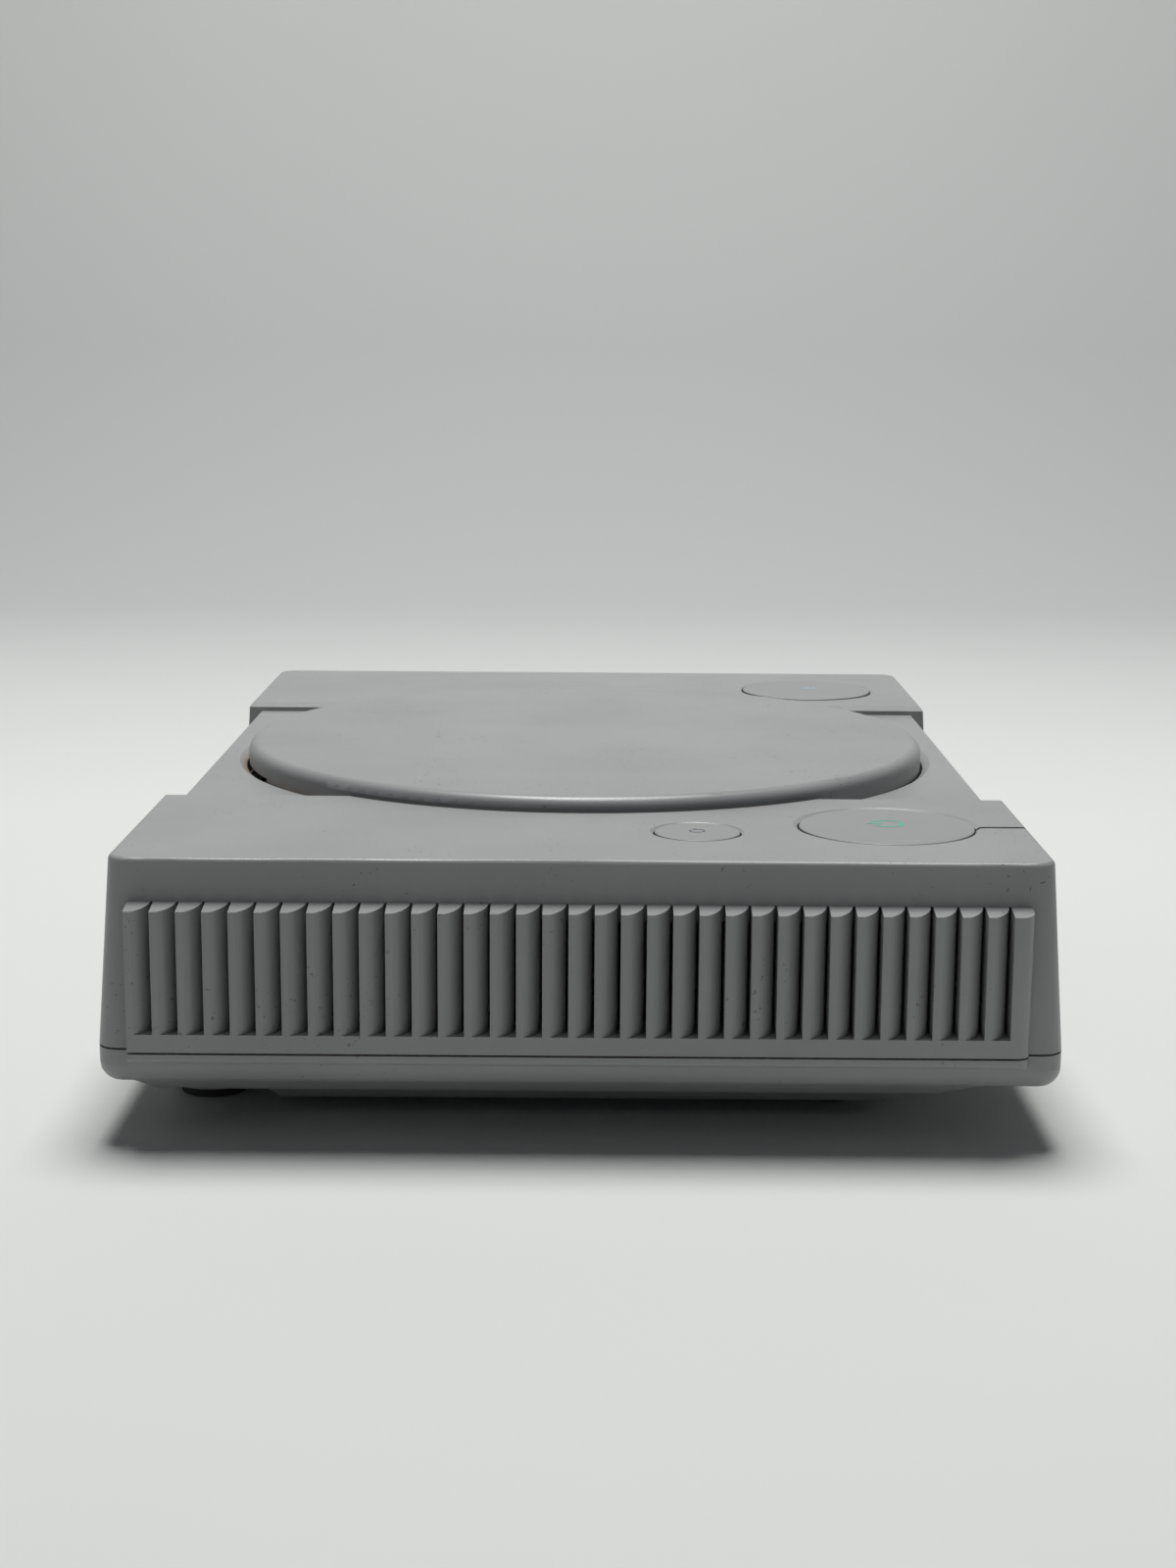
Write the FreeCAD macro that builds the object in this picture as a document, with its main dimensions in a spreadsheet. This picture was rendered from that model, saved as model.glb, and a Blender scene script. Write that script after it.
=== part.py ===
import FreeCAD, Part

import math
import os
import re

import Sketcher

# A disc console: two moulded case halves with finned sides, a round lid over the disc drive,
# three round buttons, a front housing for controllers and memory cards, rear connectors,
# two boards and the drive. Millimetres, +Z up, the feet stand on Z = 0, the controller
# sockets face -Y and the power button is on the -X side.

SIZES = [
    # Case
    ("case_width", 264, "between the side walls, at the split line"),
    ("case_depth", 188, "between the front and rear walls, at the split line"),
    ("split_height", 19.8, "floor to the line between the case halves"),
    ("wing_height", 57.1, "floor to the top of the side wings"),
    ("middle_height", 55.2, "floor to the top of the lower middle section"),
    ("lid_height", 60, "floor to the top of the lid"),
    ("draft_angle", 3.67, "slope of the outer walls, degrees"),
    ("corner_radius", 4.5, "upright corners of the case"),
    ("top_edge_radius", 1, "edge between the walls and the wing tops"),
    ("wall", 2.5, "moulded wall of the case"),
    ("split_gap", 0.4, "open line between the case halves"),
    ("middle_width", 126, "middle section between the wings"),
    ("middle_depth", 176.6, "middle section, front face to rear face"),
    ("bevel_width", 3.6, "slope along the inner edge of each wing"),
    ("bevel_drop", 0.8, "fall of that slope"),
    ("inner_width", 249.6, "between the inner side walls, behind the grilles"),
    ("running_gap", 0.35, "radial gap round the buttons"),
    ("seat_gap", 0.3, "gap between pieces that rest close together"),
    ("shaft_gap", 0.05, "radial running gap of a shaft in its bore"),
    # Lower case
    ("skirt_height", 7.5, "upright part of the lower case under the split"),
    ("skirt_radius", 4, "lower edge of the skirt"),
    ("skirt_plate", 2.5, "thickness of the plate inside the skirt"),
    ("belly_height", 3, "floor to the underside of the case"),
    ("belly_step", 8.5, "floor to the ledge round the belly"),
    ("belly_width", 220, "belly at its flat underside"),
    ("belly_front", 62, "belly underside ahead of the centre"),
    ("belly_rear", 70, "belly underside behind the centre"),
    ("belly_slope", 6, "how far the belly widens up to its ledge"),
    ("belly_cavity_front", 60, "inside of the belly ahead of the centre"),
    ("belly_cavity_rear", 68, "inside of the belly behind the centre"),
    ("belly_cavity_side_rear", 57, "the same, beside the rear feet"),
    ("belly_cavity_width", 218, "inside of the belly"),
    ("belly_cavity_middle", 166, "inside of the belly, between the rear feet"),
    ("ledge_width", 244, "ledge round the belly, lower edge"),
    ("ledge_front", 71, "ledge ahead of the centre, lower edge"),
    ("ledge_rear", 84, "ledge behind the centre, lower edge"),
    ("ledge_slope", 6, "how far the ledge widens up to the skirt"),
    ("ledge_front_slope", 9, "the same at the front"),
    ("ledge_rear_slope", 4, "the same at the rear"),
    # Feet and case screws
    ("foot_radius", 7, "rubber foot"),
    ("foot_thickness", 3.4, "rubber foot"),
    ("foot_pillar_radius", 8.2, "moulded pillar that holds the foot"),
    ("foot_pillar_height", 2, "floor to the lower end of the pillar"),
    ("foot_side", 95, "centre line to the foot"),
    ("foot_rear", 77, "rear feet behind the centre"),
    ("foot_front", 52, "front feet ahead of the centre"),
    ("foot_recess_side", 100, "centre line to the recess about a rear foot"),
    ("foot_recess_rear", 77.5, "those recesses behind the centre"),
    ("foot_recess_radius", 19, "round recess about each rear foot"),
    ("foot_recess_height", 9, "floor to the roof of that recess"),
    ("screw_side", 119.5, "centre line to the corner screws"),
    ("screw_reach", 80, "corner screws ahead of and behind the centre"),
    ("screw_middle", 48, "middle screw ahead of the centre"),
    ("screw_shank", 1.5, "radius of a case screw"),
    ("screw_head", 3, "radius of its head"),
    ("screw_head_height", 2.4, "height of its head"),
    ("screw_length", 16, "length under the head"),
    ("screw_sink", 3, "depth of the head's recess"),
    ("boss_radius", 4, "screw boss of the upper case"),
    ("lower_boss_radius", 5, "screw boss of the lower case"),
    # Grilles
    ("fin_pitch", 5, "from one fin to the next"),
    ("fin_count", 35, "fins on each side"),
    ("fin_nose", 1.4, "flat nose of a fin"),
    ("fin_slope", 2.5, "sloping front side of a fin along Y"),
    ("fin_bow", 6, "radius of that side's slight bow"),
    ("fin_curve", 2.7, "rounded front end of the grille"),
    ("fin_reach", 3, "fins stand out from the side wall at the split"),
    ("grille_rear", 87.3, "rear end of the grille behind the centre"),
    ("grille_top", 47.7, "floor to the top of the fins at their noses"),
    ("grille_top_inner", 48.6, "floor to the top of the fins at the wall"),
    ("bar_height", 3.6, "bar under the fins"),
    ("gap_depth", 8, "fin nose to the bottom of the gap"),
    ("slot_bottom", 24.2, "floor to the lower end of the air slots"),
    ("slot_top", 44.7, "floor to the upper end of the air slots"),
    ("slot_first", 10, "number of the first gap with an air slot"),
    ("band_height", 2.4, "band of the lower case under the grille"),
    ("band_radius", 1.2, "lower edge of that band"),
    # Disc well and lid
    ("well_radius", 82.3, "well in which the lid sits"),
    ("well_bevel_radius", 84, "outer edge of the bevel round the well"),
    ("well_bevel_drop", 1.2, "depth of that bevel"),
    ("ledge_height", 50, "floor to the ledge round the disc"),
    ("ledge_plate", 2, "thickness of the ledge and the disc floor"),
    ("disc_well_radius", 61.5, "recess for the disc"),
    ("disc_floor_height", 42, "floor to the floor under the disc"),
    ("hub_opening", 16.5, "radius of the opening round the turntable"),
    ("lens_opening_length", 68, "opening for the lens, from the centre"),
    ("lens_opening_width", 18, "opening for the lens"),
    ("lid_radius", 81.7, "lid"),
    ("lid_rim_radius", 2.5, "rounded rim of the lid"),
    ("lid_wall", 2.5, "moulded wall of the lid"),
    ("lid_rim_bottom", 51.5, "floor to the lower edge of the lid's rim"),
    ("lid_notch_width", 72, "notch in the rim over the hinge"),
    ("lid_notch_top", 55, "floor to the top of that notch"),
    ("lid_rib_radius", 45, "round rib under the lid"),
    ("lid_rib_height", 1.2, "height of that rib"),
    # Hinge of the lid
    ("hinge_rear", 71, "hinge axis behind the centre"),
    ("hinge_height", 55.85, "floor to the hinge axis"),
    ("hinge_pin_radius", 0.8, "hinge pin"),
    ("hinge_ear_radius", 1.6, "ear of the case round the pin"),
    ("hinge_ear_inner", 18, "centre line to the ear"),
    ("hinge_ear_width", 3, "ear along the pin"),
    ("hinge_side_gap", 0.4, "between the ear and the lid's bracket"),
    ("hinge_bracket_width", 3, "lid's bracket along the pin"),
    ("hinge_bracket_radius", 2.1, "lid's bracket round the pin"),
    ("hinge_pin_inner", 12.5, "centre line to the inner end of the pin"),
    ("hinge_pin_length", 12.5, "hinge pin"),
    ("lid_spring_radius", 1.5, "outside of the torsion spring"),
    ("trough_width", 72, "trough under the hinge, inside"),
    ("trough_front", 66.5, "front wall of the trough, inside"),
    ("trough_rear", 82, "rear wall of the trough, inside"),
    ("trough_floor", 44.5, "floor to the floor of the trough"),
    # Buttons
    ("button_side", 95.6, "centre line to the power and open buttons"),
    ("button_front", 62.6, "power and open buttons ahead of the centre"),
    ("button_radius", 18, "power and open buttons"),
    ("button_dish_shift", 0.75, "their dish lies this far towards the centre line"),
    ("button_dish_depth", 0.7, "depth of the dishes"),
    ("button_top", 57.2, "floor to the top of the buttons"),
    ("button_plate", 2.2, "top of a button"),
    ("button_wall", 2, "skirt of a button"),
    ("button_edge_radius", 0.3, "upper edge of a button"),
    ("button_flange_bottom", 48.2, "floor to the lower end of a button's skirt"),
    ("button_flange_height", 1.5, "flange that holds a button in"),
    ("button_flange_width", 1.6, "flange beyond the button"),
    ("button_travel", 3, "how far the power and open buttons go down"),
    ("collar_bottom", 50, "floor to the lower end of the collar"),
    ("collar_wall", 1.85, "collar of the case round a button"),
    ("stem_radius", 3, "stem under a button"),
    ("reset_side", 102.3, "centre line to the reset button"),
    ("reset_front", 23.4, "reset button ahead of the centre"),
    ("reset_radius", 8.7, "reset button"),
    ("reset_dish_shift", 0.5, "its dish lies this far towards the centre line"),
    ("reset_travel", 1.5, "how far the reset button goes down"),
    ("reset_stem_radius", 1.8, "stem under the reset button"),
    ("spring_wire", 0.8, "wire of the button springs"),
    ("open_post_height", 30, "floor to the seat of the open button's spring"),
    ("open_post_radius", 5, "post under the open button"),
    ("open_stem_radius", 2.2, "stem under the open button"),
    ("open_stem_bottom", 44, "floor to the lower end of that stem"),
    # Latch
    ("hook_side", 52, "centre line to the lid's hook"),
    ("hook_front", 54.5, "hook and latch bar ahead of the centre"),
    ("hook_width", 6, "hook along Y"),
    ("hook_plate", 2, "hook's upright plate"),
    ("hook_nose", 2, "hook's nose beyond the plate"),
    ("hook_bottom", 39.2, "floor to the lower end of the hook"),
    ("latch_bottom", 41.5, "floor to the underside of the latch bar"),
    ("latch_thickness", 2.5, "latch bar"),
    ("latch_width", 7, "latch bar along Y"),
    ("latch_tip", 54.6, "centre line to the tip of the latch bar"),
    ("latch_grip", 1.4, "how far the bar's tip reaches over the hook's nose"),
    ("ramp_start", 88, "centre line to the foot of the ramp"),
    ("ramp_rise", 6, "height and length of the ramp"),
    ("ramp_block", 3, "bar beyond the ramp"),
    ("ramp_window", 4, "window in the bar ahead of the ramp"),
    ("wedge_width", 5, "wedge of the open button along Y"),
    ("wedge_bottom", 44.5, "floor to the lower end of the wedge"),
    ("guide_first", 58, "centre line to the first guide of the bar"),
    ("guide_second", 70, "centre line to the second guide"),
    ("guide_length", 4, "each guide along X"),
    ("guide_wall", 3, "guide beyond the bar"),
    # Lid switch
    ("lid_switch_side", 52, "centre line to the lid switch"),
    ("lid_switch_front", 54.5, "lid switch ahead of the centre"),
    ("lid_switch_length", 12, "lid switch along X"),
    ("lid_switch_width", 7, "lid switch along Y"),
    ("lid_switch_height", 7, "lid switch"),
    ("plunger_radius", 1.4, "plunger of the lid switch"),
    ("plunger_top", 51.6, "floor to the top of the plunger, lid shut"),
    ("plunger_length", 8, "plunger of the lid switch"),
    ("lid_tab_radius", 1.6, "tab under the lid that presses the plunger"),
    # Power light
    ("light_side", 95.8, "centre line to the groove of the power light"),
    ("groove_width", 1.4, "groove of the power light"),
    ("groove_depth", 0.8, "groove of the power light"),
    ("pipe_front", 90.1, "front end of the light pipe"),
    ("pipe_length", 3.3, "light pipe along Y"),
    ("pipe_width", 1.2, "light pipe along X"),
    ("pipe_bottom", 24.2, "floor to the lower end of the light pipe"),
    ("pipe_top", 56.3, "floor to the top of the light pipe"),
    ("light_radius", 1.5, "power light"),
    # Front housing
    ("housing_width", 125, "front housing"),
    ("housing_top", 47.7, "floor to the top of the front housing"),
    ("housing_front", 88.6, "front face of the housing"),
    ("housing_plate", 2.5, "front plate of the housing"),
    ("housing_gap", 0.3, "gap round the housing in the case"),
    ("socket_spacing", 64, "between the two controller sockets"),
    ("socket_width", 38.6, "controller socket, inside"),
    ("socket_height", 12.6, "controller socket, inside"),
    ("socket_centre", 24.7, "floor to the middle of a controller socket"),
    ("socket_depth", 12, "controller socket"),
    ("socket_corner", 5, "rounded lower corners of a controller socket"),
    ("socket_wall", 1.8, "walls of the sockets and slots"),
    ("card_width", 44, "memory-card slot, inside"),
    ("card_height", 9.6, "memory-card slot"),
    ("card_bottom", 33.4, "floor to the underside of a card slot"),
    ("card_depth", 24, "memory-card slot"),
    ("card_roof", 45.9, "floor to the roof of a card slot, over the shutter"),
    ("shutter_plate", 1.2, "shutter"),
    ("shutter_side_gap", 0.3, "gap at each end of a shutter"),
    ("shutter_axis_height", 44.2, "floor to a shutter's axis"),
    ("shutter_axis_inset", 4.3, "housing's front face to a shutter's axis"),
    ("shutter_boss_radius", 1.4, "shutter round its pin"),
    ("shutter_pin_radius", 0.7, "shutter pin"),
    ("port_board_thickness", 1.6, "board behind the sockets"),
    ("contact_radius", 0.6, "controller contact"),
    ("contact_spacing", 3.6, "between controller contacts"),
    ("contact_reach", 8, "controller contact into its socket"),
    ("card_contact_width", 1.2, "card contact"),
    ("card_contact_spacing", 3.8, "between card contacts"),
    ("card_contact_length", 9, "card contact into its slot"),
    # Boards and shields
    ("board_thickness", 1.6, "main board and power board"),
    ("board_height", 17.4, "floor to the underside of both boards"),
    ("main_left", 58, "main board left of the centre"),
    ("main_right", 112, "main board right of the centre"),
    ("main_front", 40, "main board ahead of the centre"),
    ("main_rear", 83, "main board behind the centre"),
    ("board_screw_inset", 5, "board edge to its screws"),
    ("standoff_radius", 3.5, "pillar under a board"),
    ("standoff_neck", 2.4, "upper end of that pillar"),
    ("board_screw_shank", 1.2, "radius of a board screw"),
    ("board_screw_head", 2.4, "radius of its head"),
    ("board_screw_length", 5, "board screw under its head"),
    ("shield_thickness", 0.5, "metal shields"),
    ("lower_shield_height", 15.4, "floor to the underside of the lower shield"),
    ("shield_border", 2, "lower shield beyond the main board"),
    ("upper_shield_top", 24.8, "floor to the top of the upper shield"),
    ("upper_shield_inset", 10, "main board's edge to the upper shield"),
    ("power_board_left", 114, "outer edge of the power board left of the centre"),
    ("power_board_right", 68, "inner edge of the power board left of the centre"),
    ("power_board_front", 88.5, "power board ahead of the centre"),
    ("power_board_rear", 84, "power board behind the centre"),
    # Power supply
    ("switch_size", 14, "power switch along X and Y"),
    ("switch_height", 12, "power switch"),
    ("switch_plunger_radius", 2.2, "plunger of the power switch"),
    ("switch_plunger_out", 3.4, "plunger above the switch"),
    ("reset_switch_size", 6, "reset switch"),
    ("reset_switch_height", 4, "reset switch"),
    ("inlet_width", 20, "mains inlet"),
    ("inlet_height", 14, "mains inlet"),
    ("inlet_depth", 20, "mains inlet"),
    ("inlet_side", 95.5, "centre line to the mains inlet"),
    ("inlet_rear", 92.4, "rear face of the mains inlet"),
    ("inlet_lobe", 3.7, "radius of each half of the figure-8 socket"),
    ("inlet_pin_spacing", 8, "between the two inlet pins"),
    ("inlet_socket_depth", 13, "figure-8 socket"),
    ("transformer_length", 28, "transformer along Y"),
    ("transformer_width", 24, "transformer along X"),
    ("transformer_height", 19, "transformer"),
    ("capacitor_radius", 8, "mains capacitor"),
    ("capacitor_length", 24, "mains capacitor"),
    ("small_capacitor_radius", 4, "output capacitors"),
    ("small_capacitor_height", 14, "output capacitors"),
    ("heat_sink_length", 30, "heat sink along Y"),
    ("heat_sink_height", 18, "heat sink"),
    ("fuse_radius", 2.6, "mains fuse"),
    ("fuse_length", 20, "mains fuse"),
    # Rear connectors
    ("rear_face", 87.7, "rear face of the rear connectors"),
    ("rear_connector_depth", 13, "rear connectors"),
    ("rear_connector_height", 11, "rear connectors"),
    ("rear_connector_wall", 1.4, "shell of the rear connectors"),
    ("rear_pocket_depth", 9, "hollow of the rear connectors"),
    ("video_side", -37, "video and sound connector, centre"),
    ("video_width", 24, "video and sound connector"),
    ("serial_side", -6, "serial connector, centre"),
    ("serial_width", 19, "serial connector"),
    ("parallel_side", 38, "parallel connector, centre"),
    ("parallel_width", 52, "parallel connector"),
    ("tongue_height", 2, "contact tongue inside the rear connectors"),
    ("cover_border", 4, "parallel cover beyond its connector"),
    ("cover_thickness", 1.4, "parallel cover"),
    ("cover_plug_depth", 4, "parallel cover's plug"),
    # Drive
    ("drive_left", 42, "drive base left of the centre"),
    ("drive_right", 90, "drive base right of the centre"),
    ("drive_front", 43, "drive base ahead of the centre"),
    ("drive_rear", 43, "drive base behind the centre"),
    ("drive_height", 27, "floor to the underside of the drive base"),
    ("drive_plate", 2, "plate of the drive base"),
    ("post_left", 35, "rubber mounts left of the centre"),
    ("post_right", 83, "rubber mounts right of the centre"),
    ("post_reach", 36, "rubber mounts ahead of and behind the centre"),
    ("post_radius", 3.2, "post under a rubber mount"),
    ("post_pin_radius", 2.4, "pin through a rubber mount"),
    ("post_shoulder", 25.2, "floor to the seat of a rubber mount"),
    ("post_top", 32, "floor to the top of a post"),
    ("damper_radius", 5.5, "rubber mount"),
    ("damper_neck", 4, "rubber mount inside the base"),
    ("damper_flange", 1.6, "flanges of a rubber mount"),
    ("motor_radius", 11.5, "spindle motor"),
    ("motor_height", 8.5, "spindle motor"),
    ("motor_flange", 13.5, "flange of the spindle motor"),
    ("motor_flange_height", 1, "flange of the spindle motor"),
    ("spindle_radius", 1, "spindle"),
    ("turntable_radius", 14.5, "turntable"),
    ("turntable_bottom", 43.2, "floor to the underside of the turntable"),
    ("disc_height", 45.2, "floor to the seat of the disc"),
    ("hub_radius", 7.4, "hub inside the disc's hole"),
    ("hub_top", 49.3, "floor to the top of the hub"),
    ("hub_boss", 5, "boss under the turntable"),
    ("hub_boss_bottom", 39.6, "floor to the lower end of that boss"),
    ("ball_radius", 1.2, "clamping balls in the hub"),
    ("ball_height", 47, "floor to the clamping balls"),
    ("sled_inner", 24.5, "centre to the lens, sled at its inner end"),
    ("sled_travel", 33.5, "travel of the sled"),
    ("sled_bottom", 31.1, "floor to the underside of the sled"),
    ("sled_top", 39.3, "floor to the top of the sled"),
    ("sled_inner_length", 11, "sled from the lens towards the centre"),
    ("sled_outer_length", 15, "sled from the lens outwards"),
    ("sled_front", 22, "sled ahead of the centre"),
    ("sled_rear", 21, "sled behind the centre"),
    ("rod_radius", 1.5, "guide rod"),
    ("rod_front", 18.5, "guide rod ahead of the centre"),
    ("rod_height", 34.5, "floor to the guide rod"),
    ("rod_start", 5, "centre to the inner end of the rod"),
    ("rod_length", 79, "guide rod"),
    ("rod_block", 4, "blocks that hold the rod, along X"),
    ("rail_rear", 18, "plain rail behind the centre"),
    ("rail_width", 5, "plain rail"),
    ("lens_holder_radius", 6, "lens holder"),
    ("lens_holder_bottom", 36.6, "floor to the lower end of the lens holder"),
    ("lens_holder_top", 43.4, "floor to the top of the lens holder"),
    ("lens_pocket_bottom", 35.4, "floor to the bottom of the sled's pocket"),
    ("lens_radius", 3.4, "objective lens"),
    ("lens_seat", 42, "floor to the seat of the lens"),
    ("rack_length", 40, "rack on the sled"),
    ("rack_body", 1.6, "rack behind its teeth"),
    ("rack_pitch_front", 25.2, "pitch line of the rack ahead of the centre"),
    ("rack_module", 0.8, "teeth of the rack and the small gear"),
    ("rack_height", 3, "rack"),
    ("small_teeth", 12, "teeth of the small gear"),
    ("big_teeth", 36, "teeth of the big gear"),
    ("pinion_teeth", 10, "teeth of the motor pinion"),
    ("fine_module", 0.5, "teeth of the big gear and the pinion"),
    ("tooth_play", 0.16, "each tooth is thinner than half its pitch by this"),
    ("gear_side", 50, "gear's axis right of the centre"),
    ("big_gear_height", 1.5, "big gear"),
    ("gear_lift", 0.3, "gear above the drive base"),
    ("gear_pin_radius", 1, "pin of the gear"),
    ("pinion_angle", 225, "direction from the gear to the pinion, degrees"),
    ("sled_motor_radius", 4.6, "sled motor"),
    ("sled_motor_height", 7.8, "sled motor"),
    ("sled_motor_collar", 6, "collar of the drive base round the pinion"),
    ("sled_motor_shaft", 0.6, "shaft of the sled motor"),
]

FAR = "case_width"

document = FreeCAD.newDocument("console")
sheet = document.addObject("Spreadsheet::Sheet", "size")
for row, (name, value, meaning) in enumerate(SIZES, 1):
    sheet.set(f"A{row}", name)
    sheet.set(f"B{row}", str(value))
    sheet.set(f"C{row}", meaning)
    sheet.setAlias(f"B{row}", name)
document.recompute()

SIZE_NAMES = {name for name, value, meaning in SIZES}
WORD = re.compile(r"[a-z][a-z_]*")
sub_parts = []


def linked(text):
    """A formula with each size's name turned into a reference to the sheet."""
    def reference(found):
        word = found.group()
        return "size." + word if word in SIZE_NAMES else word

    return WORD.sub(reference, str(text))


def number(text):
    """The present value of a formula."""
    return float(sheet.evalExpression(linked(text)))


def bind(thing, field, text):
    """Ties a property of an object to a formula of sizes."""
    thing.setExpression(field, linked(text))


# Sketches and features of bodies


def new_body(label):
    body = document.addObject("PartDesign::Body", label)
    body.Label = label
    sub_parts.append(body)
    return body


def origin_part(body, role):
    return [part for part in body.Origin.OriginFeatures if part.Role == role][0]


def new_sketch(body, plane="XY_Plane", height="0", right="0", up="0"):
    """A sketch on one of the body's own planes, moved by height along its normal."""
    sketch = body.newObject("Sketcher::SketchObject", body.Label + "_sketch")
    sketch.AttachmentSupport = [(origin_part(body, plane), "")]
    sketch.MapMode = "FlatFace"
    bind(sketch, "AttachmentOffset.Base.x", right)
    bind(sketch, "AttachmentOffset.Base.y", up)
    bind(sketch, "AttachmentOffset.Base.z", height)
    return sketch


def fix_point(sketch, geometry, position, x, y):
    """Holds a point of the sketch at two formulas."""
    for kind, text, axis in (("DistanceX", x, -2), ("DistanceY", y, -1)):
        if str(text) == "0":
            sketch.addConstraint(Sketcher.Constraint("PointOnObject", geometry, position, axis))
            continue
        index = sketch.addConstraint(Sketcher.Constraint(kind, geometry, position, number(text)))
        sketch.setExpression(f"Constraints[{index}]", linked(text))


def add_circle(sketch, x, y, radius):
    centre = FreeCAD.Vector(number(x), number(y), 0)
    circle = Part.Circle(centre, FreeCAD.Vector(0, 0, 1), number(radius))
    geometry = sketch.addGeometry(circle, False)
    fix_point(sketch, geometry, 3, x, y)
    index = sketch.addConstraint(Sketcher.Constraint("Radius", geometry, number(radius)))
    sketch.setExpression(f"Constraints[{index}]", linked(radius))


def add_outline(sketch, points):
    """A closed outline through points (x, y). A point (x, y, radius) starts an arc to the next
    one that bends to the left, and (x, y, radius, "right") one that bends to the right."""
    places = [FreeCAD.Vector(number(point[0]), number(point[1]), 0) for point in points]
    ends = []
    for index, point in enumerate(points):
        start = places[index]
        end = places[(index + 1) % len(points)]
        if len(point) == 2:
            geometry = sketch.addGeometry(Part.LineSegment(start, end), False)
            ends.append((geometry, 1, 2))
            continue
        left = len(point) == 3
        radius = number(point[2])
        chord = end - start
        middle = (start + end) * 0.5
        across = FreeCAD.Vector(-chord.y, chord.x, 0).normalize()
        inset = math.sqrt(max(radius ** 2 - chord.Length ** 2 / 4, 0))
        centre = middle + across * (inset if left else -inset)
        first, last = (start, end) if left else (end, start)
        angles = [math.atan2(place.y - centre.y, place.x - centre.x) for place in (first, last)]
        circle = Part.Circle(centre, FreeCAD.Vector(0, 0, 1), radius)
        geometry = sketch.addGeometry(Part.ArcOfCircle(circle, *angles), False)
        ends.append((geometry, 1, 2) if left else (geometry, 2, 1))
        index = sketch.addConstraint(Sketcher.Constraint("Radius", geometry, radius))
        sketch.setExpression(f"Constraints[{index}]", linked(point[2]))
    for (this, begins, stops), (that, opens, closes) in zip(ends, ends[1:] + ends[:1]):
        sketch.addConstraint(Sketcher.Constraint("Coincident", this, stops, that, opens))
    for point, (geometry, begins, stops) in zip(points, ends):
        fix_point(sketch, geometry, begins, point[0], point[1])


def add_rectangle(sketch, left, bottom, right, top):
    add_outline(sketch, [(left, bottom), (right, bottom), (right, top), (left, top)])


def mirrored(points):
    """The same outline on the other side of the vertical axis, drawn the same way round."""
    turned = [(f"-({point[0]})", point[1]) for point in reversed(points)]
    for index, point in enumerate(points):
        if len(point) > 2:
            place = (len(points) - 2 - index) % len(points)
            turned[place] = turned[place] + point[2:]
    return turned


def add_feature(body, kind, sketch, **fields):
    """A feature of the body from a sketch. Text fields are formulas, others are set as they are."""
    feature = body.newObject("PartDesign::" + kind, f"{body.Label}_{kind.lower()}")
    feature.Profile = sketch
    feature.Refine = False
    for field, value in fields.items():
        if isinstance(value, str) and field != "Type":
            bind(feature, field, value)
        else:
            setattr(feature, field, value)
    sketch.Visibility = False
    return feature


def pad(body, sketch, length, down=False, **fields):
    return add_feature(body, "Pad", sketch, Length=length, Reversed=down, **fields)


def pocket(body, sketch, length, up=False, **fields):
    return add_feature(body, "Pocket", sketch, Length=length, Reversed=up, **fields)


def turn(body, sketch, kind="Revolution"):
    """A full turn of the sketch about its own vertical axis."""
    return add_feature(body, kind, sketch, ReferenceAxis=(sketch, ["V_Axis"]), Angle=360.0)


def repeat(body, feature, role, step, count, backwards=False):
    """Copies of a feature in a row along one of the body's axes."""
    row_of = body.newObject("PartDesign::LinearPattern", body.Label + "_row")
    row_of.Originals = [feature]
    row_of.Direction = (origin_part(body, role), [""])
    row_of.Mode = "Spacing"
    row_of.Reversed = backwards
    row_of.Refine = False
    bind(row_of, "Offset", step)
    bind(row_of, "Occurrences", count)
    body.Tip = row_of
    return row_of


def round_edges(body, radius, wanted):
    """Rounds the edges of the body so far whose box passes the test."""
    document.recompute()
    base = body.Tip
    names = [
        f"Edge{index}"
        for index, edge in enumerate(base.Shape.Edges, 1)
        if wanted(edge.BoundBox)
    ]
    fillet = body.newObject("PartDesign::Fillet", body.Label + "_fillet")
    fillet.Base = (base, names)
    bind(fillet, "Radius", radius)
    return fillet


# Solids made from primitives


def new_box(name, low, high):
    """A block between two corners."""
    box = document.addObject("Part::Box", name)
    fields = zip(("Length", "Width", "Height"), "xyz", low, high)
    for field, axis, start, end in fields:
        bind(box, field, f"({end}) - ({start})")
        bind(box, "Placement.Base." + axis, start)
    return box


AXIS_TURNS = {
    "z": FreeCAD.Rotation(),
    "x": FreeCAD.Rotation(FreeCAD.Vector(0, 1, 0), 90),
    "y": FreeCAD.Rotation(FreeCAD.Vector(1, 0, 0), -90),
}


def new_cylinder(name, start, length, radius, axis="z"):
    """A cylinder from its start point along +X, +Y or +Z."""
    cylinder = document.addObject("Part::Cylinder", name)
    cylinder.Placement = FreeCAD.Placement(FreeCAD.Vector(), AXIS_TURNS[axis])
    bind(cylinder, "Radius", radius)
    bind(cylinder, "Height", length)
    for letter, text in zip("xyz", start):
        bind(cylinder, "Placement.Base." + letter, text)
    return cylinder


def hide(*things):
    for thing in things:
        thing.Visibility = False


def cut(name, base, tools):
    """The base with every tool taken away."""
    tool = tools[0] if len(tools) == 1 else group(name + "_tools", tools)
    result = document.addObject("Part::Cut", name)
    result.Base = base
    result.Tool = tool
    hide(base, tool)
    return result


def fuse(name, pieces):
    result = document.addObject("Part::MultiFuse", name)
    result.Shapes = pieces
    hide(*pieces)
    return result


def group(name, pieces):
    """Separate solids that lie together as one object."""
    result = document.addObject("Part::Compound", name)
    result.Links = pieces
    hide(*pieces)
    return result


def keep(thing, label):
    """Makes an object a sub-part of the console."""
    thing.Label = label
    sub_parts.append(thing)
    return thing


# Places that several pieces share

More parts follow.
